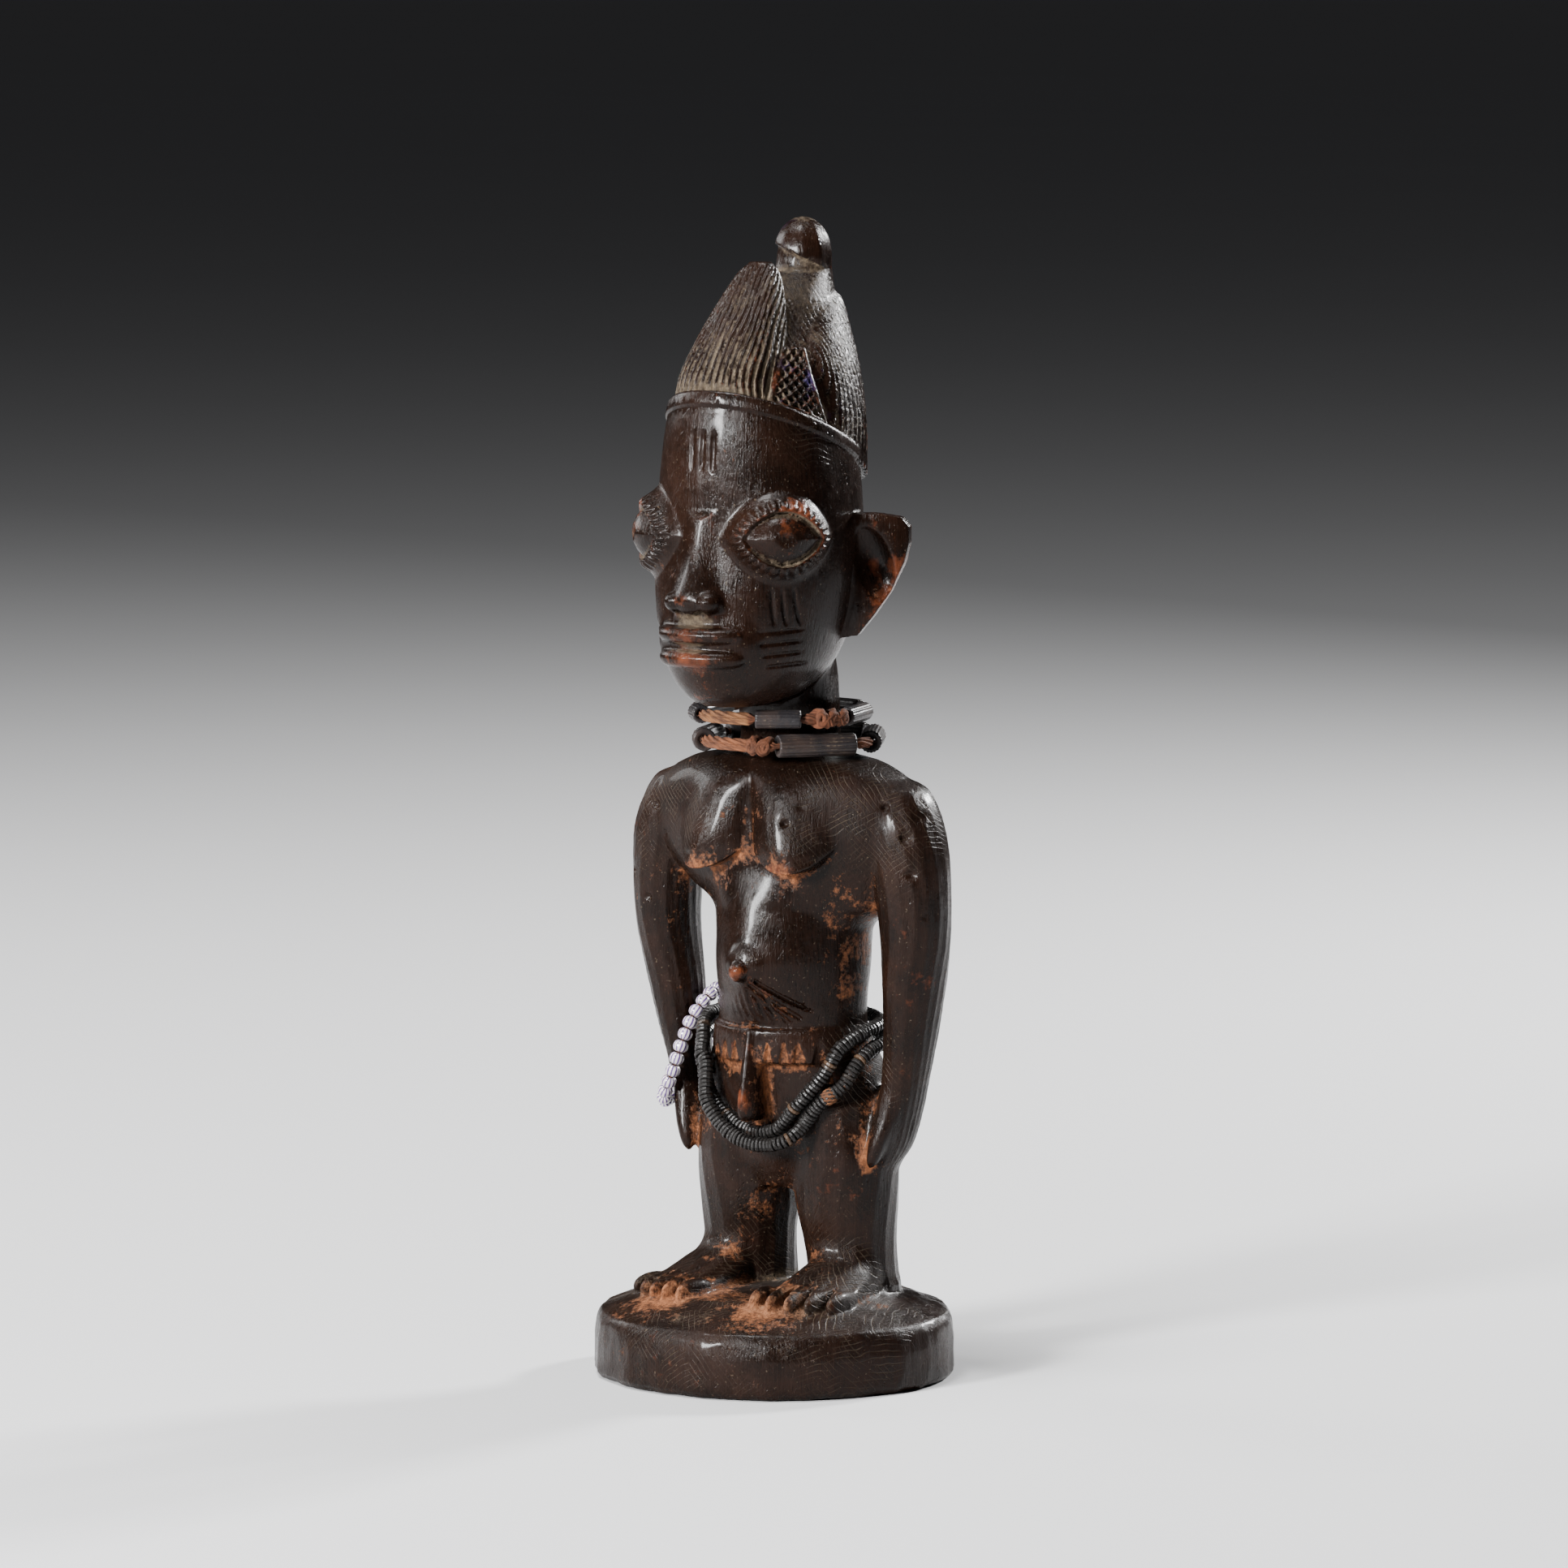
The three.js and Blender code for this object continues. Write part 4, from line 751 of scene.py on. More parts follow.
@lru_cache(maxsize=None)
def carved_block():
    """Every form of the figure joined into one block, then the cuts."""
    plan = bpy.context.scene.twin_carving
    step, fine = plan.grid_step / MM, plan.grid_step_head / MM
    outer = np.arange(step, 20.4, step * 1.2)
    across = np.concatenate([-27 - outer[::-1], np.arange(-27, 27.1, step * 0.84), 27.2 + outer])
    deep = np.concatenate([-27 - outer[::-1], np.arange(-27, 27.1, step * 0.84), 27.2 + outer])
    tall = np.concatenate([np.arange(-1.6, SOLE + 146, step * 1.1), np.arange(SOLE + 146.3, 281.6, fine)])
    block = Block((across, deep, tall))
    slim = [(h, s + SLIMMER * w, m, (1 - SLIMMER) * w, f, b) for h, s, m, w, f, b in ARM]
    block.join(column(TRUNK, trunk_power), 1)
    block.join(column(YOKE, 2.1), 3)
    block.join(column(NECK), 2)
    for side in BOTH_SIDES:
        block.join(side(ball((9.5, 18.5, 50), (11, 10.5, 12))), 3)
        block.join(side(column(LEG, 2.0, knife_facets)), 2.2)
        block.join(side(breast()), lambda height: np.interp(height, [110, 130], [0.6, 2.5]))

    def arm_blend(height):
        return np.interp(height, [34, 54, 62], [2.6, 2.6, 1.3])

    block.join(column(ARM, 2.0, knife_facets), arm_blend)
    block.join(mirrored(column(slim, 2.0, knife_facets)), arm_blend)
    block.join(ball((0.6, -14.6, 85), (4.6, 2.0, 4.2)), 2)
    block.join(ball((0.6, -16.4, 83.5), (2.6, 2.7, 2.7)), 0.5)
    block.join(column(FORK), 0.5)
    block.join(column(APRON), 0.9)
    for side in BOTH_SIDES:
        block.join(side(column(THUMB)), 1.2)
        block.join(side(foot()), 4)
        for i in range(5):
            block.join(side(toe(i)), 0.5)
        for i in range(4):
            block.cut(side(toe_cut(i)), 0.3)
    block.join(plinth(), 0.7)
    for cut, blend in belly_marks():
        block.cut(cut, blend)
    for cut in (*apron_notches(), *finger_cuts()):
        block.cut(cut, 0.3)

    def band(height, angle, away):
        return 0.6 * steps_between(height, 210.2, 210.6) - 0.3 * steps_between(height, 212.8, 213.6)

    block.join(column(HEAD, 2.0, band), 1.2)
    block.join(ball((0, -26.5, MOUTH_HEIGHT + 0.5), (13.5, 9, 8.5)), 2.5)
    bridge = [(h, 0, float(head_front(0, at)) + 2, w, f, 2) for h, at, w, f in (
        (NOSE_FOOT - 0.6, NOSE_FOOT, 5.6, 4.6), (NOSE_FOOT + 1, NOSE_FOOT, 6.6, 6),
        (NOSE_FOOT + 4, NOSE_FOOT, 5.8, 6.2), (NOSE_FOOT + 11, NOSE_FOOT + 11, 3.6, 4.6),
        (NOSE_ROOT, NOSE_ROOT, 2.6, 2.8))]
    block.join(column(bridge), 3)
    nose_side = float(head_front(4, NOSE_FOOT))
    for side in BOTH_SIDES:
        block.join(side(ball((4.6, nose_side - 1.2, NOSE_FOOT + 2.3), (2.9, 3.4, 2.6))), 0.8)
        block.cut(side(ball((3.0, nose_side - 2.6, NOSE_FOOT - 0.9), (1.5, 1.7, 1.3))), 0.3)
    block.join(lip(MOUTH_HEIGHT + 2.7, 2.1, 3.6), 0.3)
    block.join(lip(MOUTH_HEIGHT - 2.9, 2.2, 3.2), 0.3)
    for side in BOTH_SIDES:
        block.join(side(eye()), 1.8)
        block.join(side(ear()), 0.9)
    for cut in face_marks():
        block.cut(cut, 0.35)
    block.join(column(HAIR, 2.0, flutes(math.pi / 2, 200, 2.0, 1.6, 1.0, 213, 245)), 0.4)
    block.join(column(FRONT_LOBE, 3.0, flutes(-math.pi / 2, 105, 2.0, 1.5, 1.2, 214, 253.5)), 0.4)
    block.join(column(REAR_LOBE, rear_lobe_power, flutes(math.pi / 2, 150, 2.1, 1.5, 1.1, 208, 248)), 0.4)
    for side in BOTH_SIDES:
        block.join(side(lattice_panel()), 0.25)
    block.join(column(STEM), 0.8)
    block.join(cap(), 0.3)
    return block


def hashed(cells, seed):
    """A number from 0 to 1 for each whole-numbered cell, the same on each run."""
    mixed = cells.astype(np.uint32) * np.array([73856093, 19349663, 83492791], np.uint32)
    value = mixed[..., 0] ^ mixed[..., 1] ^ mixed[..., 2] ^ np.uint32(seed * 2654435761 % 2**32)
    value = (value ^ (value >> 13)) * np.uint32(1274126177)
    value = value ^ (value >> 16)
    return (value & 0xFFFFFF) / np.float32(0x1000000)


def cloudy(points, size, seed):
    """Soft random rise and fall, from -1 to 1: random values on a lattice, mixed smoothly."""
    place = points / size
    base = np.floor(place).astype(np.int64)
    share = (place - base).astype(np.float32)
    share = share * share * (3 - 2 * share)
    total = np.zeros(len(points), np.float32)
    for corner in range(8):
        bits = np.array([(corner >> 2) & 1, (corner >> 1) & 1, corner & 1])
        weight = np.prod(np.where(bits, share, 1 - share), axis=1)
        total += weight * hashed(base + bits, seed)
    return 2 * total - 1


def scalloped(points, size, seed):
    """Shallow hollows side by side, as a blade leaves: the squared distance to the nearest of
    the points scattered one to a cell, from 0 in a hollow's middle."""
    place = points / size
    base = np.floor(place).astype(np.int64)
    nearest = np.full(len(points), 9.0, np.float32)
    for i in (-1, 0, 1):
        for j in (-1, 0, 1):
            for k in (-1, 0, 1):
                cell = base + (i, j, k)
                spot = cell + np.stack([hashed(cell, seed + n) for n in range(3)], 1)
                gap = place - spot
                np.minimum(nearest, np.einsum("ij,ij->i", gap, gap), out=nearest)
    return nearest


# Knocks and worm holes, most on the left shoulder and arm.
PITS = [
    (36.5, -1.5, 129), (41.5, 0.5, 122), (33.5, -2.5, 124), (39.0, -2.4, 117),
    (30.0, -6.5, 133.5), (27.5, -8.0, 128), (43.0, -0.6, 98), (21.5, -10.2, 134.5),
    (42.0, -1.4, 134), (-33.0, -3.0, 121), (-41.5, 0.0, 104), (12.5, -14.0, 120), (45.0, 6.0, 88),
    (20, -8, 101), (16, -14, 124), (24, -10.5, 117), (-30, -5, 114), (-36, 0, 98), (40, -1, 108),
]


def carve_marks(points):
    """How far the skin sinks, in millimetres: blade facets, low waves and small knocks."""
    height = points[:, 2] - SOLE
    on_plinth = 1 - steps_between(height, 0.5, 6)
    on_head = steps_between(height, 150, 160)
    on_hair = steps_between(height + HAIR_LEAN * (points[:, 1] + 4), 211, 215)
    stretched = points * (1, 1, 0.55)
    facets = np.minimum(scalloped(stretched, 5.2, 5), 0.8)
    small = np.minimum(scalloped(points * (1, 1, 0.7), 2.6, 11), 0.8)
    plain_amount = 0.14 * (1 - on_head) + 0.035 * on_head * (1 - on_hair) + 0.06 * on_hair
    sink = (0.8 - facets) * (plain_amount + 0.3 * on_plinth)
    sink += (0.8 - small) * (0.05 * (1 - on_head) + 0.07 * on_plinth + 0.03 * on_hair)
    sink += 0.07 * (cloudy(points, 9, 21) + 1) * (1 - 0.6 * on_head)
    spots = np.array(PITS, float) + (0, 0, SOLE)
    sizes = 0.7 + 0.9 * drawn(8, len(spots))
    for spot, size in zip(spots, sizes):
        near = np.linalg.norm((points - spot) * (1, 0.5, 1), axis=1)
        sink += np.exp(-1.1 * (near / size) ** 4)
    return sink


def put_mesh(name, points, faces, smooth=True):
    """A mesh from arrays of points, in millimetres, and of faces with one number of corners."""
    mesh = bpy.data.meshes.new(name)
    mesh.vertices.add(len(points))
    mesh.vertices.foreach_set("co", (np.asarray(points, np.float32) * MM).ravel())
    sides = faces.shape[1]
    mesh.loops.add(faces.size)
    mesh.loops.foreach_set("vertex_index", faces.astype(np.int32).ravel())
    mesh.polygons.add(len(faces))
    mesh.polygons.foreach_set("loop_start", np.arange(0, faces.size, sides, dtype=np.int32))
    mesh.update(calc_edges=True)
    mesh.validate()
    mesh.polygons.foreach_set("use_smooth", np.full(len(mesh.polygons), smooth))
    return mesh


def give(mesh, name, values):
    """Stores one number for each point of a mesh, for its material to read."""
    layer = mesh.attributes.new(name, "FLOAT", "POINT")
    layer.data.foreach_set("value", np.ascontiguousarray(values, np.float32))


def put_piece(name, mesh, finish, slot, *nodes):
    """Adds a mesh as a piece that rides on the body and stands for the frame's nodes."""
    piece = bpy.data.objects.new(name, mesh)
    bpy.context.scene.collection.objects.link(piece)
    mesh.materials.append(finish)
    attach(piece, "root")
    if nodes:
        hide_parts(*nodes)


def points_of(mesh):
    """A mesh's points, in millimetres."""
    places = np.empty(len(mesh.vertices) * 3, np.float32)
    mesh.vertices.foreach_get("co", places)
    return places.reshape(-1, 3) / MM


def thinned(mesh, most):
    """The same skin with at most so many triangles, thinned where it is flat."""
    stand_in = bpy.data.objects.new("thinning", mesh)
    bpy.context.scene.collection.objects.link(stand_in)
    thin = stand_in.modifiers.new("thin", "DECIMATE")
    thin.ratio = min(1.0, most / (2 * len(mesh.polygons)))
    thin.use_collapse_triangulate = True
    ready = stand_in.evaluated_get(bpy.context.evaluated_depsgraph_get())
    result = bpy.data.meshes.new_from_object(ready)
    bpy.data.objects.remove(stand_in)
    bpy.data.meshes.remove(mesh)
    return result


def near_spots(points, spots):
    """The strongest of some round patches, each a place, its spread and its strength."""
    patch = np.zeros(len(points), np.float32)
    for x, y, height, spread, strength in spots:
        gap = np.linalg.norm(points - (x, y, height + SOLE), axis=1) / spread
        patch = np.maximum(patch, strength * np.exp(-gap * gap))
    return patch


# Where hands and time have rubbed the dark skin through to the red wood.
RUBBED = [
    (0, -40, NOSE_FOOT + 3, 4, 0.5), (0, -37, MOUTH_HEIGHT + 3, 7, 0.35),
    (0, -36, MOUTH_HEIGHT - 4, 7, 0.5), (24, -24, EYE_HEIGHT + 7, 6, 0.6),
    (-24, -24, EYE_HEIGHT + 6, 6, 0.6), (27, -22, EYE_HEIGHT - 1, 5, 0.3),
    (-27, -22, EYE_HEIGHT - 1, 6, 0.6), (31, 4, EYE_HEIGHT - 16, 6, 0.5),
    (-31, 4, EYE_HEIGHT - 16, 6, 0.5), (33, 6, EYE_HEIGHT - 8, 5, 0.4), (12.5, -17, 109.5, 4, 0.5),
    (-12.5, -17, 109.5, 4, 0.4), (0.6, -19, 83.5, 3.2, 0.62), (0, -29, CHIN + 4, 6, 0.3),
    (5, -32, HAIRLINE - 26, 6, 0.25), (43, 3, 80, 9, 0.35), (-43, 3, 96, 8, 0.35),
    (-42, 2, 112, 7, 0.35), (38, -4, 96, 6, 0.3), (0, -45, -14, 26, 0.2), (-36, -26, -14, 12, 0.2),
    (30, -34, -14, 10, 0.2), (37, 2, 60, 5, 0.4), (0, -15, 52, 3, 0.75), (0, -13, 64, 3, 0.4),
    (18, 0, 30, 9, 0.25),
]
# Where red earth powder was rubbed in and stayed.
POWDERED = [
    (0, -12, 58, 15, 0.75), (13, -8, 57, 11, 0.75), (-13, -8, 57, 9, 0.75), (0, -8, 44, 12, 0.8),
    (23, -4, 44, 8, 1.0), (-23, -2, 46, 8, 0.9), (24, -3, 52, 8, 0.9), (18, 2, 100, 9, 1.0),
    (-18, 2, 100, 9, 1.0), (20, -3, 108, 9, 1.0), (-20, -3, 108, 9, 1.0), (12, -14, 106, 8, 0.9),
    (-12, -14, 106, 8, 0.9), (0, -12, 116, 10, 1.0), (0, -12, 130, 7, 0.8), (19, 4, 88, 9, 0.8),
    (-19, 4, 88, 9, 0.8), (0, -14, 72, 12, 0.3), (25, 6, 36, 8, 0.9), (-25, 6, 36, 8, 0.9),
    (13, -28, -1, 12, 1.0), (-15, -27, -1, 12, 1.0), (6, -20, 0, 9, 1.0), (-7, -19, 0, 9, 1.0),
    (12, -8, 4, 14, 0.9), (-12, -8, 4, 14, 0.9), (0, -2, 20, 10, 0.8), (27, 0, 5, 8, 0.6),
    (-27, 0, 5, 8, 0.6), (0, 26, 52, 12, 0.6), (0, 18, 32, 12, 0.6), (0, 20, 108, 10, 0.3),
    (28, 2, EYE_HEIGHT - 14, 7, 0.5), (-28, 2, EYE_HEIGHT - 14, 7, 0.5), (15, 22, 4, 10, 0.6),
    (-15, 22, 4, 10, 0.6),
]
# Open skin where the powder lies in thin patches.
SMEARED = [
    (20, 5, 98, 8, 0.44), (20.5, 5, 88, 8, 0.4), (20, 5, 78, 7, 0.4), (1, -12, 112, 5, 0.45),
    (-18, 2, 100, 7, 0.3), (22, 0, 105, 6, 0.34), (0, -13, 122, 3, 0.3), (2, -15, 107, 5, 0.3),
    (9, -10, 62, 7, 0.34), (-9, -10, 60, 7, 0.3), (4, -12, 52, 6, 0.36), (20, -3, 46, 6, 0.34),
    (-20, -2, 46, 6, 0.3), (26, 4, 38, 4, 0.3), (10, -3, 40, 7, 0.24), (4, 2, 24, 6, 0.34),
    (-4, 2, 24, 7, 0.34), (9, -1, 13, 5, 0.3), (-9, -1, 13, 6, 0.34), (-27, 2, 102, 6, 0.3),
    (-29, 2, 90, 5, 0.22), (24, -6, 106, 4, 0.3), (0, 26, 50, 10, 0.25), (0, -16, 2, 9, 0.2),
    (21, 7, 62, 7, 0.42), (12, -12, 106, 6, 0.3), (-10, -13, 106, 6, 0.3), (-1, -9, 41, 6, 0.42),
    (-3, -7, 34, 5, 0.42), (-5, -5, 27, 5, 0.36),
]
# Where grey dust lies thin on open skin.
GREYED = [
    (0, 4, 244, 10, 0.2), (10, 0, 232, 8, 0.15), (-10, 0, 232, 8, 0.15),
    (22, -12, EYE_HEIGHT + 12, 8, 0.16), (-22, -12, EYE_HEIGHT + 12, 8, 0.16),
    (0, -33, MOUTH_HEIGHT + 7, 4, 0.3), (20, -22, EYE_HEIGHT - 14, 8, 0.16),
    (-20, -22, EYE_HEIGHT - 14, 8, 0.16), (28, -8, 128, 12, 0.14), (-28, -8, 128, 12, 0.14),
    (20, -22, 0, 14, 0.14), (28, 2, 0, 18, 0.12), (0, -34, 0, 10, 0.22), (-32, -10, 0, 14, 0.22),
    (0, 20, 0, 20, 0.22),
]
# Shoulders, chest and plinth, where the blade left fine crossing lines that hold grey dust.
HATCHED = [
    (28, -6, 128, 13, 1.0), (-28, -6, 128, 13, 1.0), (18, -12, 120, 8, 0.8), (-18, -12, 120, 8, 0.8),
    (37, 2, 116, 9, 0.8), (-37, 2, 116, 9, 0.7), (0, -30, 1, 16, 1.0), (28, -14, 1, 18, 1.0),
    (-30, -12, 1, 16, 1.0), (26, -4, 54, 8, 1.0), (21, 7, 62, 9, 1.4), (26, -5, 8, 12, 1.4),
    (0, 0, 236, 12, 0.9), (13, 2, 226, 8, 0.7), (-13, 2, 226, 8, 0.7), (20, 2, 6, 12, 0.8),
    (-20, 2, 6, 12, 0.8), (0, 0, 3, 18, 1.0), (0, 30, 1, 20, 0.7), (0, 20, 122, 16, 0.6),
    (17, -13, 210, 9, 0.3),
]
# Hollows that hold grey dust, besides the hair.
DUSTED = [
    (0, -33, MOUTH_HEIGHT + 6, 7, 0.55), (0, -34, MOUTH_HEIGHT, 9, 0.5), (24, -24, EYE_HEIGHT, 15, 0.7),
    (-24, -24, EYE_HEIGHT, 15, 0.7), (0, -28, HAIRLINE - 9, 9, 0.8), (0, 0, 2, 48, 0.4),
    (20, -18, EYE_HEIGHT - 26, 9, 0.6), (-20, -18, EYE_HEIGHT - 26, 9, 0.6),
]
# Where traces of colour are left in the hair.
TINTED = [(19, -11, 225, 6.5, 1), (-19, -11, 225, 6.5, 1), (0, 12, 258, 5, 0.3)]


def give_carving_masks(mesh, block):
    """Masks for the wood, from the block: hollow, where the field stays low outside the skin;
    edge, where it stays shallow inside; and the places of wear, powder and dust."""
    points = points_of(mesh)
    normals = block.outward(points)
    hollow = np.zeros(len(points), np.float32)
    for reach, weight in ((0.7, 0.3), (1.6, 0.35), (3.4, 0.35)):
        open_way = block.sample(points + normals * reach) / reach
        hollow += weight * np.clip(1.02 - open_way, 0, 1)
    inner = -block.sample(points - normals * 1.1) / 1.1
    edge = np.clip((0.97 - inner) * 1.8, 0, 1)
    height = points[:, 2] - SOLE
    hair = steps_between(height + HAIR_LEAN * (points[:, 1] + 4), 212, 216)
    knob = steps_between(height, 249, 253)
    film = 0.27 * hair * (1 - 0.5 * knob)
    give(mesh, "hollow", np.clip(hollow * 1.25, 0, 1))
    give(mesh, "edge", edge)
    give(mesh, "dusty", np.clip(0.62 * hair + near_spots(points, DUSTED), 0, 1))
    give(mesh, "greyed", np.clip(film + near_spots(points, GREYED), 0, 1))
    for name, spots in (("rubbed", RUBBED), ("powdered", POWDERED), ("smeared", SMEARED),
                        ("hatched", HATCHED), ("panel", TINTED)):
        give(mesh, name, near_spots(points, spots))


# Building shaders.

def add_node(tree, kind, inputs=None, **settings):
    """Adds a node, sets what it is told, and sets or links its inputs by name or number."""
    node = tree.nodes.new(kind)
    for name, value in settings.items():
        setattr(node, name, value)
    for key, value in (inputs or {}).items():
        if isinstance(value, bpy.types.NodeSocket):
            tree.links.new(value, node.inputs[key])
        else:
            node.inputs[key].default_value = value
    return node


def maths(tree, operation, a, b=0.0, clamp=False):
    return add_node(tree, "ShaderNodeMath", {0: a, 1: b}, operation=operation, use_clamp=clamp).outputs[0]


def plus(tree, a, b, clamp=False):
    return maths(tree, "ADD", a, b, clamp)


def minus(tree, a, b, clamp=False):
    return maths(tree, "SUBTRACT", a, b, clamp)


def times(tree, a, b, clamp=False):
    return maths(tree, "MULTIPLY", a, b, clamp)


def spread(tree, value, low, high, to_low=0.0, to_high=1.0):
    """A value moved from one range to another, and kept inside it."""
    return add_node(tree, "ShaderNodeMapRange", {
        "Value": value, "From Min": low, "From Max": high, "To Min": to_low, "To Max": to_high,
    }).outputs["Result"]


def mixed(tree, share, first, second):
    """A colour between two others. The node's colour sockets are its numbers 6, 7 and 2."""
    return add_node(tree, "ShaderNodeMix", {0: share, 6: first, 7: second}, data_type="RGBA").outputs[2]


def noise(tree, where, scale, detail=3.0, rough=0.55):
    return add_node(tree, "ShaderNodeTexNoise", {
        "Vector": where, "Scale": scale, "Detail": detail, "Roughness": rough,
    }).outputs["Fac"]


def stored(tree, name):
    return add_node(tree, "ShaderNodeAttribute", attribute_name=name).outputs["Fac"]


def stretched(tree, where, scale):
    return add_node(tree, "ShaderNodeMapping", {"Vector": where, "Scale": scale}).outputs["Vector"]


def new_group(name, inputs, outputs):
    """An empty shader group with its named inputs, each with a default, and outputs."""
    group = bpy.data.node_groups.new(name, "ShaderNodeTree")
    kinds = {"value": "NodeSocketFloat", "colour": "NodeSocketColor", "vector": "NodeSocketVector"}
    for title, kind, default in inputs:
        socket = group.interface.new_socket(name=title, in_out="INPUT", socket_type=kinds[kind])
        if default is not None:
            socket.default_value = default
    for title, kind in outputs:
        group.interface.new_socket(name=title, in_out="OUTPUT", socket_type=kinds[kind])
    return group, group.nodes.new("NodeGroupInput").outputs, group.nodes.new("NodeGroupOutput").inputs


def place_group(tree, name, inputs):
    return add_node(tree, "ShaderNodeGroup", inputs, node_tree=bpy.data.node_groups[name]).outputs


def build_groups():
    """The effects that several finishes share: uneven patina, fine scratches, crossing blade lines
    and powder."""
    tree, given, result = new_group("uneven skin", [
        ("Where", "vector", None), ("Dark", "colour", (0.01, 0.008, 0.007, 1)),
        ("Light", "colour", (0.04, 0.02, 0.012, 1)), ("Patch Scale", "value", 60.0),
        ("Rough", "value", 0.4), ("Rough Change", "value", 0.2),
    ], [("Color", "colour"), ("Roughness", "value")])
    broad = noise(tree, given["Where"], given["Patch Scale"], 4.0, 0.6)
    fine = noise(tree, given["Where"], times(tree, given["Patch Scale"], 9.0), 3.0, 0.6)
    blend = plus(tree, times(tree, broad, 0.75), times(tree, fine, 0.25))
    patches = spread(tree, blend, 0.42, 0.68)
    tree.links.new(mixed(tree, patches, given["Dark"], given["Light"]), result["Color"])
    change = times(tree, minus(tree, fine, 0.5), given["Rough Change"])
    change = plus(tree, change, times(tree, minus(tree, broad, 0.5), given["Rough Change"]))
    tree.links.new(plus(tree, given["Rough"], change, True), result["Roughness"])

    tree, given, result = new_group("scratches", [
        ("Where", "vector", None), ("Scale", "value", 900.0), ("Along", "value", 0.12),
    ], [("Height", "value")])
    parts = add_node(tree, "ShaderNodeSeparateXYZ", {0: given["Where"]}).outputs
    flow = add_node(tree, "ShaderNodeCombineXYZ", {
        0: parts[0], 1: parts[1], 2: times(tree, parts[2], given["Along"]),
    }).outputs[0]
    lines = noise(tree, flow, given["Scale"], 4.0, 0.7)
    turned = add_node(tree, "ShaderNodeVectorRotate", {
        "Vector": given["Where"], "Axis": (0.3, 0.8, 0.5), "Angle": 1.1}).outputs[0]
    parts = add_node(tree, "ShaderNodeSeparateXYZ", {0: turned}).outputs
    flow = add_node(tree, "ShaderNodeCombineXYZ", {
        0: times(tree, parts[0], given["Along"]), 1: parts[1], 2: parts[2],
    }).outputs[0]
    crossing = noise(tree, flow, times(tree, given["Scale"], 0.6), 2.0, 0.6)
    deep = spread(tree, crossing, 0.62, 0.74)
    tree.links.new(minus(tree, lines, times(tree, deep, 0.5)), result["Height"])

    tree, given, result = new_group("hatch", [
        ("Where", "vector", None), ("Amount", "value", 0.0), ("Scale", "value", 5600.0),
    ], [("Lines", "value")])
    total = None
    for way, patch in (((0.75, 0.2, 0.63), 210.0), ((-0.62, 0.3, 0.72), 260.0)):
        place = add_node(tree, "ShaderNodeVectorMath", {0: given["Where"], 1: way},
                         operation="DOT_PRODUCT").outputs["Value"]
        drift = times(tree, noise(tree, given["Where"], patch * 0.5, 1.0), 14.0)
        wave = maths(tree, "SINE", plus(tree, times(tree, place, given["Scale"]), drift))
        kept = spread(tree, noise(tree, given["Where"], patch * 0.6, 3.0), 0.45, 0.7)
        lines = times(tree, spread(tree, wave, 0.72, 0.98), kept)
        total = lines if total is None else maths(tree, "MAXIMUM", total, lines)
    tree.links.new(times(tree, total, given["Amount"], True), result["Lines"])

    tree, given, result = new_group("powder", [
        ("Where", "vector", None), ("Base", "colour", (0.02, 0.015, 0.01, 1)),
        ("Powder", "colour", (0.4, 0.17, 0.08, 1)), ("Amount", "value", 0.0), ("Grain Scale", "value", 700.0),
        ("Rough", "value", 0.4), ("Ragged", "value", 2.2),
    ], [("Color", "colour"), ("Roughness", "value"), ("Cover", "value")])
    grain = noise(tree, given["Where"], given["Grain Scale"], 5.0, 0.7)
    drifts = noise(tree, given["Where"], times(tree, given["Grain Scale"], 0.2), 3.0, 0.6)
    ragged = plus(tree, times(tree, grain, 0.5), times(tree, drifts, 0.5))
    ragged = times(tree, minus(tree, ragged, 0.5), given["Ragged"])
    cover = spread(tree, plus(tree, given["Amount"], ragged), 0.3, 0.8, 0.0, 0.92)
    thin = mixed(tree, 0.55, given["Powder"], given["Base"])
    shaded = mixed(tree, spread(tree, grain, 0.4, 0.62), thin, given["Powder"])
    tree.links.new(mixed(tree, cover, given["Base"], shaded), result["Color"])
    tree.links.new(plus(tree, given["Rough"], times(tree, cover, 0.5), True), result["Roughness"])
    tree.links.new(cover, result["Cover"])


def new_finish(name, specular=0.5, coat=None):
    """A material with a Principled shader, and its tree, shader and object coordinates."""
    finish = bpy.data.materials.new(name)
    finish.use_nodes = True
    tree = finish.node_tree
    shader = next(n for n in tree.nodes if n.type == "BSDF_PRINCIPLED")
    shader.inputs["Specular IOR Level"].default_value = specular
    if coat:
        shader.inputs["Coat Weight"].default_value, shader.inputs["Coat Roughness"].default_value = coat
    where = add_node(tree, "ShaderNodeTexCoord").outputs["Object"]
    return finish, tree, shader, where


def bump(tree, shader, height, distance):
    """Fine relief of so many metres on a finish."""
    node = add_node(tree, "ShaderNodeBump", {"Height": height, "Distance": distance, "Strength": 1.0})
    tree.links.new(node.outputs["Normal"], shader.inputs["Normal"])


def rgb(colour):
    return (*colour, 1.0)


WOOD_COAT = 0.06


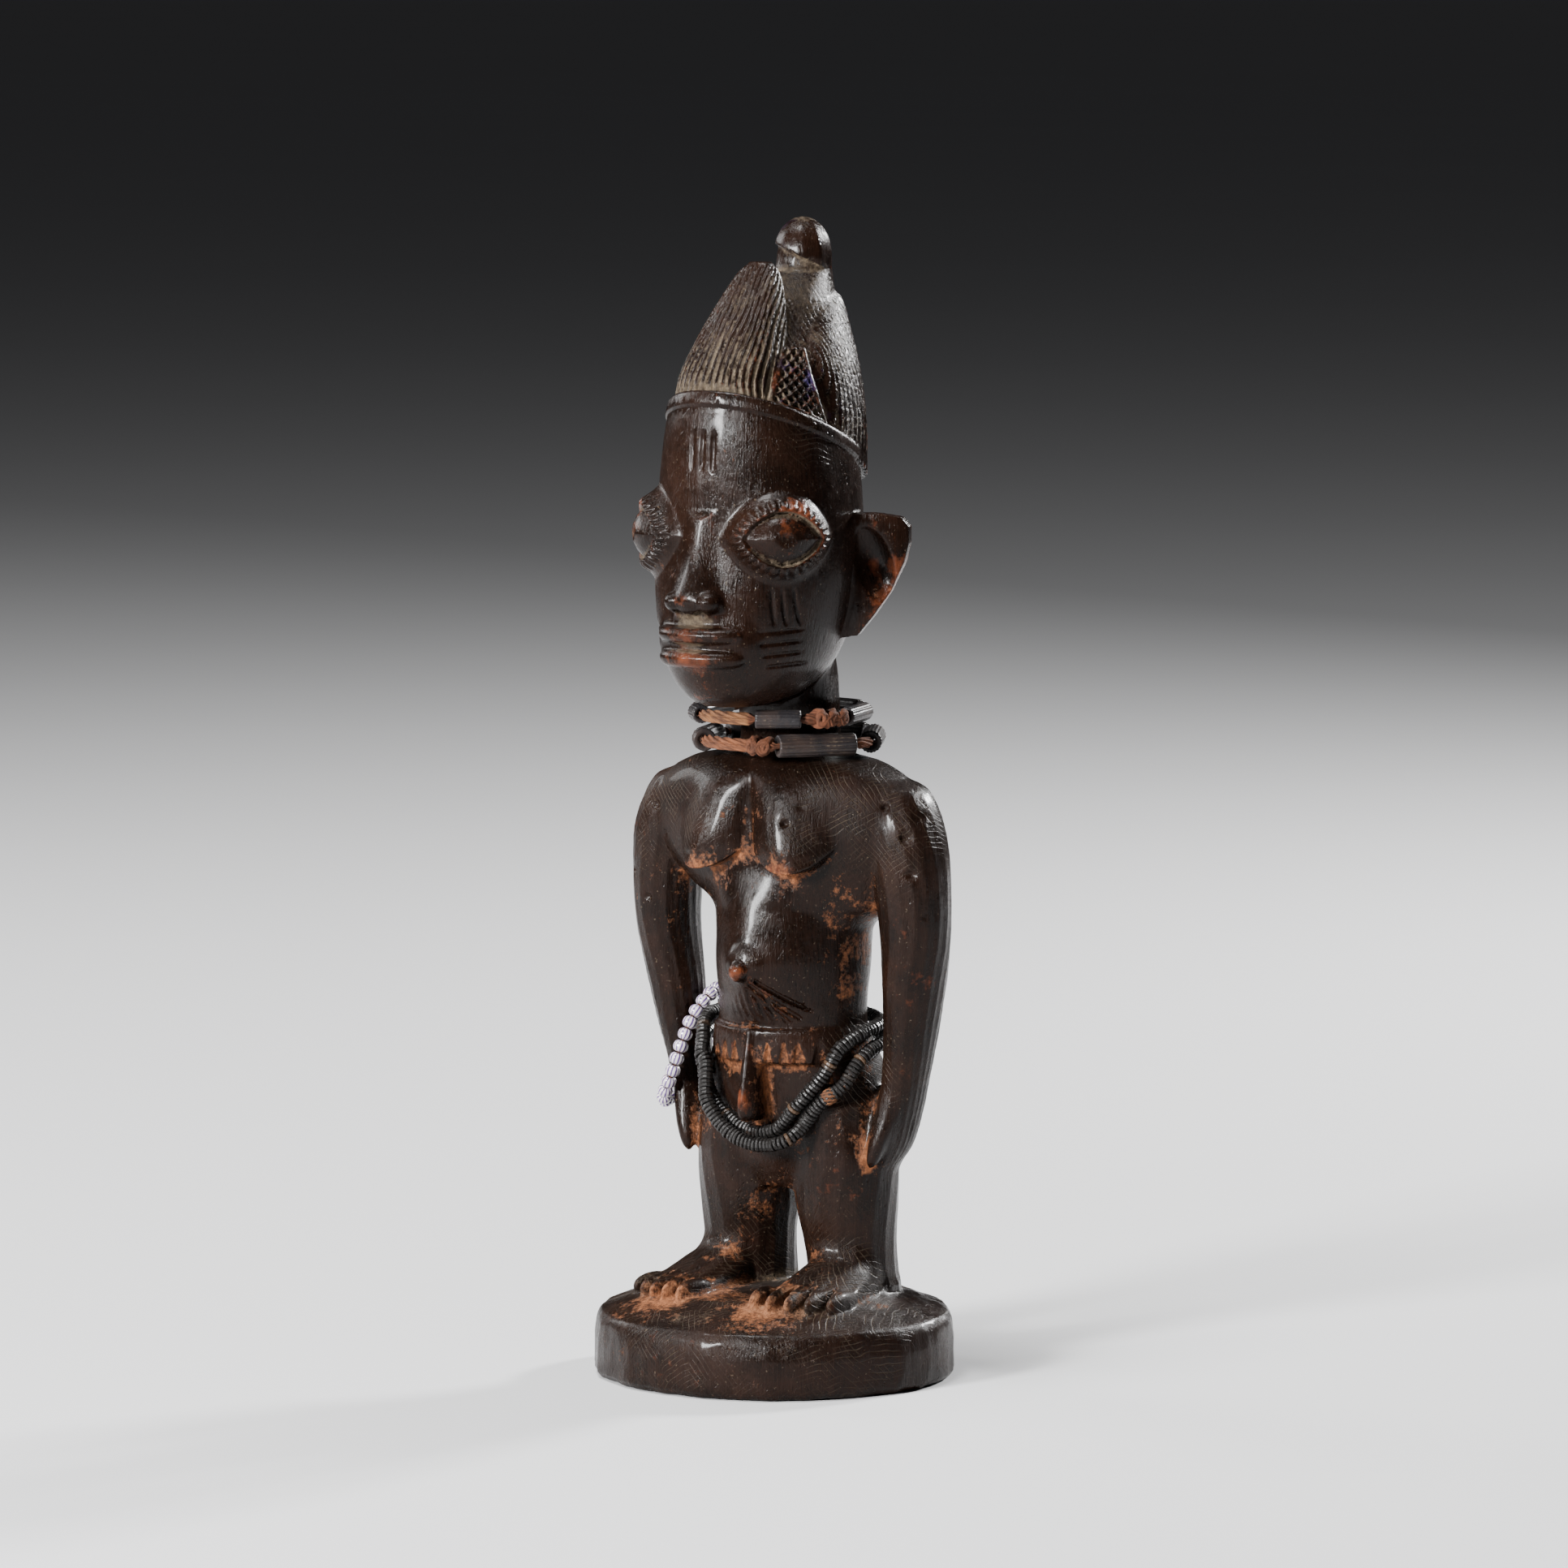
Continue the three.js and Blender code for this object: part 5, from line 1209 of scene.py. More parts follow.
@lru_cache(maxsize=None)
def wood_finish():
    """Dark oiled wood: streaked along its grain, red where it is rubbed, powder and dust where
    it is hollow, fine crossing lines where the blade left them."""
    look = bpy.context.scene.twin_finish
    finish, tree, shader, where = new_finish("dark rubbed wood", 0.08, (WOOD_COAT, 0.13))
    skin = place_group(tree, "uneven skin", {
        "Where": where, "Dark": rgb(look.wood_dark), "Light": rgb(look.wood_light),
        "Patch Scale": 70.0, "Rough": look.wood_roughness, "Rough Change": 0.22})
    hollow, edge = stored(tree, "hollow"), stored(tree, "edge")
    grain = noise(tree, stretched(tree, where, (2300.0, 2300.0, 190.0)), 1.0, 4.0, 0.65)
    streaks = spread(tree, grain, 0.40, 0.66)
    colour = mixed(tree, times(tree, streaks, 0.4), skin["Color"], rgb(look.wood_light))
    wear_noise = noise(tree, where, 260.0, 5.0, 0.7)
    rub = plus(tree, stored(tree, "rubbed"), times(tree, edge, 0.4))
    rub = plus(tree, rub, times(tree, minus(tree, wear_noise, 0.5), 1.6))
    rub = spread(tree, rub, 0.35, 0.95)
    rub = times(tree, rub, minus(tree, 1.0, hollow, True))
    colour = mixed(tree, rub, colour, rgb(look.wood_worn))
    traces = spread(tree, noise(tree, where, 170.0, 3.0), 0.56, 0.66)
    purple = times(tree, stored(tree, "panel"), traces, True)
    colour = mixed(tree, times(tree, purple, 0.32), colour, rgb(look.blue_trace))
    specks = times(tree, spread(tree, noise(tree, where, 1500.0, 2.0, 0.5), 0.68, 0.74), 0.3)
    colour = mixed(tree, specks, colour, rgb(look.dust))
    hatch = place_group(tree, "hatch", {"Where": where, "Amount": stored(tree, "hatched")})["Lines"]
    colour = mixed(tree, times(tree, hatch, 0.32), colour, rgb(look.dust))
    amount = times(tree, stored(tree, "powdered"), spread(tree, hollow, 0.12, 0.8))
    amount = plus(tree, amount, stored(tree, "smeared"))
    red = place_group(tree, "powder", {
        "Where": where, "Base": colour, "Powder": rgb(look.powder), "Amount": amount,
        "Grain Scale": 900.0, "Rough": skin["Roughness"]})
    amount = times(tree, stored(tree, "dusty"), spread(tree, hollow, 0.18, 0.75))
    amount = plus(tree, amount, stored(tree, "greyed"))
    amount = times(tree, amount, minus(tree, 1.0, stored(tree, "panel"), True))
    grey = place_group(tree, "powder", {
        "Where": where, "Base": red["Color"], "Powder": rgb(look.dust), "Amount": amount,
        "Grain Scale": 900.0, "Rough": red["Roughness"], "Ragged": 0.9})
    tree.links.new(grey["Color"], shader.inputs["Base Color"])
    rough = plus(tree, grey["Roughness"], times(tree, minus(tree, grain, 0.5), 0.12))
    rough = plus(tree, rough, times(tree, stored(tree, "hatched"), 0.3), True)
    tree.links.new(rough, shader.inputs["Roughness"])
    covered = maths(tree, "MAXIMUM", red["Cover"], grey["Cover"])
    bare = minus(tree, 1.0, covered, True)
    tree.links.new(times(tree, bare, WOOD_COAT), shader.inputs["Coat Weight"])
    lines = place_group(tree, "scratches", {"Where": where, "Scale": 1300.0, "Along": 0.1})["Height"]
    crust = times(tree, covered, noise(tree, where, 2600.0, 3.0, 0.7))
    height = plus(tree, times(tree, lines, 0.6), times(tree, crust, 1.2))
    height = plus(tree, height, times(tree, noise(tree, where, 520.0, 3.0), 0.3))
    height = plus(tree, height, times(tree, grain, 0.35))
    height = minus(tree, height, times(tree, hatch, 0.7))
    bump(tree, shader, height, 0.0003)
    return finish


@lru_cache(maxsize=None)
def tube_finish():
    """Dark, smooth tube beads, grey where their ridges are scuffed."""
    look = bpy.context.scene.twin_finish
    finish, tree, shader, where = new_finish("dark tube bead", 0.14, (0.03, 0.2))
    skin = place_group(tree, "uneven skin", {
        "Where": where, "Dark": rgb(look.tube_dark), "Light": rgb(look.tube_light),
        "Patch Scale": 140.0, "Rough": 0.36, "Rough Change": 0.4})
    dust = place_group(tree, "powder", {
        "Where": where, "Base": skin["Color"], "Powder": rgb(look.dust),
        "Amount": times(tree, stored(tree, "dip"), 0.4), "Grain Scale": 1200.0,
        "Rough": skin["Roughness"]})
    tree.links.new(dust["Color"], shader.inputs["Base Color"])
    tree.links.new(dust["Roughness"], shader.inputs["Roughness"])
    bump(tree, shader, place_group(tree, "scratches", {
        "Where": where, "Scale": 1500.0, "Along": 0.5})["Height"], 0.0001)
    return finish


@lru_cache(maxsize=None)
def fibre_finish():
    """Twisted plant fibre, stained red: fine strands along the cord's own length, with painted shade in the
    dips between strands.
    """
    look = bpy.context.scene.twin_finish
    finish, tree, shader, where = new_finish("stained fibre", 0.25)
    along = add_node(tree, "ShaderNodeUVMap", uv_map="cord").outputs[0]
    strands = noise(tree, stretched(tree, along, (34.0, 3.5, 1.0)), 1.0, 4.0, 0.75)
    tone = plus(tree, times(tree, strands, 0.6), times(tree, noise(tree, where, 230.0, 3.0), 0.4))
    light = mixed(tree, stored(tree, "stain"), rgb(look.fibre_light), rgb(look.fibre_red))
    # Low tone takes the dark colour: partly the fibre's own dark brown, partly painted shade where the strand
    # pattern dips.
    colour = mixed(tree, spread(tree, tone, 0.40, 0.60), rgb(look.fibre_dark_and_shade), light)
    tree.links.new(colour, shader.inputs["Base Color"])
    tree.links.new(spread(tree, strands, 0.3, 0.7, 0.95, 0.7), shader.inputs["Roughness"])
    bump(tree, shader, strands, 0.00035)
    return finish


@lru_cache(maxsize=None)
def disc_finish():
    """Shell discs: near black, some brown, with paler rims."""
    look = bpy.context.scene.twin_finish
    finish, tree, shader, where = new_finish("dark shell disc", 0.28)
    tone = stored(tree, "tone")
    colour = mixed(tree, spread(tree, tone, 0.94, 1.0, 0.0, 0.7), rgb(look.disc_dark), rgb(look.disc_brown))
    dusty = place_group(tree, "powder", {
        "Where": where, "Base": colour, "Powder": rgb(look.powder),
        "Amount": times(tree, stored(tree, "dip"), 0.2), "Grain Scale": 1300.0, "Rough": 0.34})
    tree.links.new(dusty["Color"], shader.inputs["Base Color"])
    tree.links.new(dusty["Roughness"], shader.inputs["Roughness"])
    bump(tree, shader, noise(tree, where, 1800.0, 3.0), 0.0001)
    return finish


@lru_cache(maxsize=None)
def glass_finish():
    """Opaque white glass with purple stripes from end to end of the bead."""
    look = bpy.context.scene.twin_finish
    finish, tree, shader, where = new_finish("striped glass", 0.5, (0.6, 0.12))
    around = add_node(tree, "ShaderNodeSeparateXYZ", {
        0: add_node(tree, "ShaderNodeUVMap", uv_map="bead").outputs[0]}).outputs
    wander = times(tree, minus(tree, noise(tree, where, 500.0, 2.0), 0.5), 0.35)
    phase = times(tree, plus(tree, times(tree, around[0], look.stripes), wander), TURN)
    stripe = spread(tree, maths(tree, "SINE", phase), 0.0, 0.35)
    colour = mixed(tree, stripe, rgb(look.glass_white), rgb(look.glass_stripe))
    dirty = place_group(tree, "powder", {
        "Where": where, "Base": colour, "Powder": rgb(look.powder),
        "Amount": plus(tree, times(tree, stored(tree, "dip"), 0.35), 0.02),
        "Grain Scale": 1000.0, "Rough": 0.28})
    tree.links.new(dirty["Color"], shader.inputs["Base Color"])
    tree.links.new(dirty["Roughness"], shader.inputs["Roughness"])
    bump(tree, shader, noise(tree, where, 1500.0, 3.0), 0.00008)
    return finish


# Strands.

def spline_through(points, closed, count):
    """A smooth curve through points whose pace follows the root of the gaps between them, read
    at even steps of its length."""
    points = np.asarray(points, float)
    if closed:
        ends = np.vstack([points[-1:], points, points[:2]])
    else:
        ends = np.vstack([2 * points[:1] - points[1:2], points, 2 * points[-1:] - points[-2:-1]])
    t = np.linspace(0, 1, 40, endpoint=False)[None, :, None]
    p0, p1, p2, p3 = (ends[i:len(ends) - 3 + i, None] for i in range(4))
    gap = [np.maximum(np.linalg.norm(b - a, axis=2, keepdims=True) ** 0.5, 1e-4)
           for a, b in ((p0, p1), (p1, p2), (p2, p3))]
    lean1 = ((p1 - p0) / gap[0] - (p2 - p0) / (gap[0] + gap[1]) + (p2 - p1) / gap[1]) * gap[1]
    lean2 = ((p2 - p1) / gap[1] - (p3 - p1) / (gap[1] + gap[2]) + (p3 - p2) / gap[2]) * gap[1]
    twist, bend = 2 * p1 - 2 * p2 + lean1 + lean2, -3 * p1 + 3 * p2 - 2 * lean1 - lean2
    curve = twist * t**3 + bend * t**2 + lean1 * t + p1
    curve = np.vstack([curve.reshape(-1, points.shape[1]), ends[-2:-1] if not closed else points[:1]])
    run = np.concatenate([[0], np.cumsum(np.linalg.norm(np.diff(curve, axis=0), axis=1))])
    marks = np.linspace(0, run[-1], count + 1)[:-1 if closed else None]
    return np.stack([np.interp(marks, run, curve[:, k]) for k in range(points.shape[1])], 1), run[-1]


def frames_along(path, closed):
    """For each point of a path, its direction and two directions across it, the first of them
    away from the path's middle."""
    if closed:
        along = np.roll(path, -1, 0) - np.roll(path, 1, 0)
    else:
        along = np.gradient(path, axis=0)
    along /= np.linalg.norm(along, axis=1, keepdims=True)
    out = path - path.mean(0)
    out -= along * (out * along).sum(1, keepdims=True)
    out /= np.linalg.norm(out, axis=1, keepdims=True)
    return along, out, np.cross(along, out)


def grid_faces(rows, sides, closed):
    """Quads between neighbouring rings of points, and from the last to the first if closed."""
    row = np.arange(rows if closed else rows - 1)[:, None]
    side = np.arange(sides)[None, :]
    next_row, next_side = (row + 1) % rows, (side + 1) % sides
    corners = [(row, side), (row, next_side), (next_row, next_side), (next_row, side)]
    return np.stack([(r * sides + c).ravel() for r, c in corners], 1)


def revolved(profile, sides, middles, axes, outs, swell):
    """Many copies of one closed profile turned about their axes. A profile point is a reach and
    a place along the axis, and swell scales each copy's reach, by profile point and turn."""
    ups = np.cross(axes, outs)
    angle = np.linspace(0, TURN, sides, endpoint=False)
    round_way = outs[:, None] * np.cos(angle)[None, :, None] + ups[:, None] * np.sin(angle)[None, :, None]
    reach, place = np.array(profile, float).T
    reach = reach[None, :, None] * swell
    points = (middles[:, None, None] + axes[:, None, None] * place[None, :, None, None]
              + round_way[:, None] * reach[..., None])
    rows = len(profile)
    one = grid_faces(rows, sides, True)
    faces = (one[None] + (np.arange(len(middles)) * rows * sides)[:, None, None]).reshape(-1, 4)
    return points.reshape(-1, 3), faces


def give_uv(mesh, name, u, v):
    """A UV map from one pair of numbers for each point of the mesh."""
    corners = np.empty(len(mesh.loops), np.int32)
    mesh.loops.foreach_get("vertex_index", corners)
    layer = mesh.uv_layers.new(name=name)
    layer.data.foreach_set("uv", np.stack([u[corners], v[corners]], 1).astype(np.float32).ravel())


def ring_point(ring, turn):
    """Places on a level ring round the neck, at turns in degrees."""
    angle = np.radians(turn)
    level = np.full_like(angle, ring["height"])
    side, front = ring["reach"] * np.sin(angle), ring["reach"] * np.cos(angle)
    return np.stack([side, ring["middle"] - front, level], -1)


# The two rings at the neck. Turns are in degrees from the front towards the figure's left.
NECK_RING = {
    "middle": 7.2, "reach": 21.5, "height": 154.15, "radius": 2.85, "seed": 4,
    "tubes": [(52, 19.5), (120, 17), (178, 17), (236, 17), (290, 13), (315, 2.4)],
    "knot": (7, 20), "wrap": (-36, 7), "wrap_stain": 0.75, "knot_stain": 0.85,
}
CHOKER_RING = {
    "middle": 2.8, "reach": 20.4, "height": 160.9, "radius": 2.3, "seed": 9,
    "tubes": [(32, 11), (105, 15), (165, 15), (220, 15), (275, 15), (315, 7)],
    "knot": (51, 78), "wrap": (-27, 13), "wrap_stain": 0.12, "knot_stain": 0.9,
}
TUBE_BORE = 1.2
CORD_RADIUS = 1.6
KNOT_RADIUS = 2.5


def tube_bead(ring, middle, length, seed):
    """A tube bead: a profile from the bore over the rounded ends, turned about a chord of the
    ring, with flutes along it and chipped ends."""
    half = math.degrees(math.asin(length / 2 / ring["reach"]))
    ends = ring_point(ring, np.array([middle - half, middle + half]))
    axis = (ends[1] - ends[0]) / np.linalg.norm(ends[1] - ends[0])
    out = np.cross(axis, (0, 0, 1.0))
    out /= np.linalg.norm(out)
    radius, long, sides = ring["radius"], length / 2, 72
    inner = np.linspace(long, -long, 5)[1:-1]
    outer = np.linspace(-long + 0.5, long - 0.5, max(5, int(length)))
    profile = ([(TUBE_BORE, -long + 0.25), (radius * 0.86, -long), (radius * 0.97, -long + 0.18)]
               + [(radius, p) for p in outer]
               + [(radius * 0.97, long - 0.18), (radius * 0.86, long), (TUBE_BORE, long - 0.25)]
               + [(TUBE_BORE, p) for p in inner])
    reach, place = np.array(profile).T
    angle = np.linspace(0, TURN, sides, endpoint=False)
    count = 15 + int(5 * drawn(seed, 1)[0])
    fluted = (drawn(seed + 1, 1)[0] * 0.5 + 0.5) * (0.0 if length < 5 else 1.0)
    dips = (0.5 + 0.5 * np.cos(count * angle + 0.03 * place[:, None]))**2
    skin = (reach > TUBE_BORE + 0.1)[:, None]
    places = np.stack([np.broadcast_to(place[:, None] * 0.4, dips.shape),
                       3 * np.cos(angle)[None] + 0 * place[:, None],
                       3 * np.sin(angle)[None] + 0 * place[:, None]], -1).reshape(-1, 3)
    lumps = cloudy(places, 1.6, seed).reshape(dips.shape)
    wobble = 1 - skin * (0.075 * fluted * dips + 0.02 * (1 + lumps))
    points, faces = revolved(profile, sides, ends.mean(0)[None], axis[None], out[None], wobble[None])
    return points, faces[:, ::-1], (skin * fluted * dips).ravel()


def facing_out(points, faces):
    """The faces, turned round if the closed skin's volume comes out below zero."""
    a, b, c = (points[faces[:, k]] for k in range(3))
    volume = np.einsum("ij,ij->i", a, np.cross(b, c)).sum()
    if faces.shape[1] == 4:
        d = points[faces[:, 3]]
        volume += np.einsum("ij,ij->i", a, np.cross(c, d)).sum()
    return faces if volume > 0 else faces[:, ::-1]


def twisted_cord(path, closed, radius, strands, pitch, depth, sides=24):
    """A cord of twisted strands: a round section carried along a path, its reach rising and
    falling with the turn, which slips round as the cord goes on. Radius is one number or one
    for each point."""
    _, out, up = frames_along(path, closed)
    run = np.concatenate([[0], np.cumsum(np.linalg.norm(np.diff(path, axis=0), axis=1))])
    angle = np.linspace(0, TURN, sides, endpoint=False)[None, :]
    phase = strands * angle - TURN * run[:, None] / pitch * strands
    ridge = 1 - depth * (0.5 + 0.5 * np.cos(phase)) ** 1.5
    reach = np.broadcast_to(np.asarray(radius, float), (len(path),))[:, None] * ridge
    away, rise = reach * np.cos(angle), reach * np.sin(angle)
    points = path[:, None] + out[:, None] * away[..., None] + up[:, None] * rise[..., None]
    faces = grid_faces(len(path), sides, closed)
    u = np.broadcast_to(angle / TURN, reach.shape) - run[:, None] / pitch
    v = np.broadcast_to(run[:, None] / 10, reach.shape)
    points = points.reshape(-1, 3)
    u, v = u.ravel(), v.ravel()
    if not closed:
        ends = np.array([len(points), len(points) + 1])
        points = np.vstack([points, path[0], path[-1]])
        u, v = np.append(u, [0, 0]), np.append(v, [v[0], v[-1]])
        side = np.arange(sides)
        after = (side + 1) % sides
        last = (len(path) - 1) * sides
        low = np.stack([side, after, np.full(sides, ends[0]), np.full(sides, ends[0])], 1)
        high = np.stack([last + after, last + side, np.full(sides, ends[1]), np.full(sides, ends[1])], 1)
        faces = np.vstack([faces, low[:, [1, 0, 2, 3]], high[:, [1, 0, 2, 3]]])
    return points, faces, u, v


def gathered(parts):
    """Parts of points, triangles and point values put together into one set of arrays."""
    points, faces, values, start = [], [], [], 0
    for spots, quads, *more in parts:
        split = np.vstack([quads[:, [0, 1, 2]], quads[:, [0, 2, 3]]]) if quads.shape[1] == 4 else quads
        split = split[(split[:, 0] != split[:, 1]) & (split[:, 1] != split[:, 2])
                      & (split[:, 0] != split[:, 2])]
        split = facing_out(spots - spots.mean(0), split)
        points.append(spots)
        faces.append(split + start)
        values.append([np.broadcast_to(v, len(spots)) for v in more])
        start += len(spots)
    joined_values = [np.concatenate(column) for column in zip(*values)]
    return np.vstack(points), np.vstack(faces), joined_values


def knot_loops(middle, along, out, radius):
    """A knot: three turns of thin cord round the thick one, each a slanted ring, and a loop
    that crosses over them."""
    up = np.cross(along, out)
    t = np.linspace(0, TURN, 48, endpoint=False)[:, None]
    for k, (shift, slant, size) in enumerate(((-1.7, 0.9, 1.0), (0.0, -1.1, 1.06), (1.7, 0.8, 0.98))):
        reach = (radius - 0.9) * size
        path = middle + along * (shift + slant * np.cos(t + k))
        path = path + out * reach * np.cos(t) + up * reach * np.sin(t)
        yield twisted_cord(path, True, 0.92, 3, 9.6, 0.24, 14)
    path = (middle + along * 2.3 * np.sin(t) + out * (radius - 1.0 + 0.25 * np.cos(2 * t))
            + up * (1.2 * np.sin(2 * t)))
    yield twisted_cord(path, True, 0.8, 3, 8.0, 0.24, 12)


def neck_cord(ring):
    """A ring's cord: thin through the tubes, a bundle of strands where it shows, with a knot."""
    steps = np.arange(-180, 180, 1.2)
    radius = np.full(len(steps), 1.35)
    for middle, length in ring["tubes"]:
        half = math.degrees(math.asin(length / 2 / ring["reach"]))
        gap = np.abs((steps - middle + 180) % 360 - 180)
        radius = np.where(gap < half + 1.2, 0.72, radius)
        radius = np.where((gap >= half + 1.2) & (gap < half + 3), np.minimum(radius, 1.1), radius)
    low, high = ring["wrap"]
    radius = np.where((steps > low) & (steps < high), CORD_RADIUS, radius)
    path = ring_point(ring, steps)
    on_chord = path.copy()
    for middle, length in ring["tubes"]:
        half = math.degrees(math.asin(length / 2 / ring["reach"]))
        ends = ring_point(ring, np.array([middle - half - 1.5, middle + half + 1.5]))
        share = ((steps - middle + 180) % 360 - 180 + half + 1.5) / (2 * half + 3)
        inside = (share >= 0) & (share <= 1)
        line = ends[0] + (ends[1] - ends[0]) * share[:, None]
        on_chord[inside] = line[inside]
    shown = twisted_cord(on_chord, True, radius, 7, 26.0, 0.3, 42)
    knot_stain = ring["knot_stain"]
    stain = np.where((steps > low - 4) & (steps < high), ring["wrap_stain"], knot_stain)
    parts = [(*shown, np.repeat(stain, 42))]
    low, high = ring["knot"]
    spots = ring_point(ring, np.array([low, (low + high) / 2, high]))
    span = spots[2] - spots[0]
    along = span / np.linalg.norm(span)
    out = np.cross(along, (0, 0, 1.0))
    for loop in knot_loops(spots[1], along, out, KNOT_RADIUS):
        parts.append((*loop, knot_stain))
    if np.linalg.norm(span) > 7:
        for loop in knot_loops(spots[1] + along * 3.2, along, out, KNOT_RADIUS * 0.86):
            parts.append((*loop, knot_stain))
    return parts


INNER_STRAND = [
    (180, 70, 1), (135, 70, 1), (90, 68.6, 1), (75, 67, 1), (63, 64, 1), (54, 58.3, 1), (44, 53.6, 1),
    (32, 48.8, 1), (22, 45, 1), (0, 43.5, 1), (-25, 45.5, 1), (-43, 49.6, 1), (-53, 54.7, 1), (-60, 59.5, 1),
    (-68, 63, 1), (-78, 65, 1), (-90, 65.6, 1), (-110, 65.8, 1), (-135, 66.8, 1), (-155, 69.5, 1),
    (-180, 70, 1),
]
OUTER_STRAND = [
    (180, 65.5, 1), (135, 65.5, 1), (88, 64.2, 1), (75, 61.2, 1), (65, 55.7, 1), (51, 51, 1), (43, 46.7, 1),
    (29, 42.4, 2), (14, 41.1, 2), (-4, 41.7, 2), (-22, 44.9, 2), (-34, 50.8, 2), (-44, 57.4, 1.4),
    (-56, 63.6, 1), (-66, 68, 1), (-78, 69.7, 1), (-90, 70, 1), (-110, 69.6, 1.8), (-135, 67.8, 2.04),
    (-155, 66, 2), (-180, 65.5, 1),
]
WRIST_STRAND = [
    (-25.4, 13.4, 74.7), (-24.9, 9.4, 74), (-25.6, 5.4, 71.2), (-27.2, 2.4, 66), (-28.4, 0.6, 60.5),
    (-30.4, -0.2, 54), (-34, 1.8, 48.5), (-36.2, 6.5, 46.9), (-37, 11.5, 48.5), (-36.8, 16, 53),
    (-34.5, 19.5, 59), (-30.5, 20.6, 65.5), (-27, 18.4, 72),
]
STRAND_RADIUS = 1.95
# A disc's profile, in radii and half thicknesses, how dusty each of its rings is, and its sides.
DISC_PROFILE = [(0.5, -1), (0.9, -1), (1.0, -0.5), (1.0, 0.5), (0.9, 1), (0.5, 1)]
DISC_DIPS = [1, 0.45, 0, 0, 0.45, 1]
DISC_SIDES = 12
# Where the fibre spacer sits on the outer strand, and how it swells along its length.
SPACER_NEAR = (20.5, -10.0, SOLE + 57)
SPACER_SWELL = np.array([1.0, 1.16, 1.14, 0.98])
CLEARANCE = 0.3
HIP_AXIS = 8.0
WRIST_BEADS = 26
GLASS_SIDES = 33
GLASS_RIBS = 11


def hip_reach(angle, height):
    """How far the hips reach from their middle towards each turn at each height: the greatest
    of many steps outwards that is still inside a form."""
    reach = np.arange(4, 40, 0.1)[None, :]
    x = reach * np.sin(angle)[:, None]
    y = HIP_AXIS - reach * np.cos(angle)[:, None]
    inside = np.zeros(x.shape, bool)
    for rows, side in ((TRUNK, 1), (APRON, 1), (LEG, 1), (LEG, -1)):
        line = through(rows)
        ring = [np.interp(height, line[:, 0], line[:, k])[:, None] for k in range(1, 6)]
        across, behind = side * x - ring[0], y - ring[1]
        deep = np.where(behind < 0, ring[3], ring[4])
        within = (across / ring[2]) ** 2 + (behind / deep) ** 2 < 1
        inside |= within & ((height >= rows[0][0]) & (height <= rows[-1][0]))[:, None]
    return np.where(inside, reach, 0).max(1) + 0.1


def hip_path(rows, count):
    """A strand's middle line: turn, height and layer read smoothly on the hips' skin rolled out
    flat, then set out from the skin by its own thickness."""
    flat = math.radians(25)
    outline = np.array(rows, float) * (flat, 1, 1)
    spots, _ = spline_through(outline, False, count)
    spots = spots[1:]
    angle, height, layer = np.radians(spots[:, 0] / flat), spots[:, 1], spots[:, 2]
    skin = np.maximum(hip_reach(angle, height), hip_reach(angle, height - STRAND_RADIUS))
    window = np.ones(5) / 5
    padded = np.concatenate([skin[-2:], skin, skin[:2]])
    skin = np.maximum(skin, np.convolve(padded, window, "valid"))
    reach = skin + (2 * layer - 1) * STRAND_RADIUS + layer * CLEARANCE
    return np.stack([reach * np.sin(angle), HIP_AXIS - reach * np.cos(angle), SOLE + height], 1)


def even_path(path, count):
    """A closed path read again at even steps of its length, and the step."""
    loop = np.vstack([path, path[:1]])
    run = np.concatenate([[0], np.cumsum(np.linalg.norm(np.diff(loop, axis=0), axis=1))])
    marks = np.linspace(0, run[-1], count, endpoint=False)
    return np.stack([np.interp(marks, run, loop[:, k]) for k in range(3)], 1), run[-1] / count


def path_length(path):
    return np.linalg.norm(np.roll(path, -1, 0) - path, axis=1).sum()


# The operators.

class CarvingPlan(bpy.types.PropertyGroup):
    """Sizes of the carving's skin."""
    grid_step: FloatProperty(name="Body step", description="Grid step of the body and plinth",
                             default=0.00043, unit="LENGTH", precision=5)
    grid_step_head: FloatProperty(name="Head step", description="Height step of the head and hair",
                                  default=0.00034, unit="LENGTH", precision=5)
    most_triangles: IntProperty(name="Most triangles", description="Triangles left in the skin",
                                default=196000)


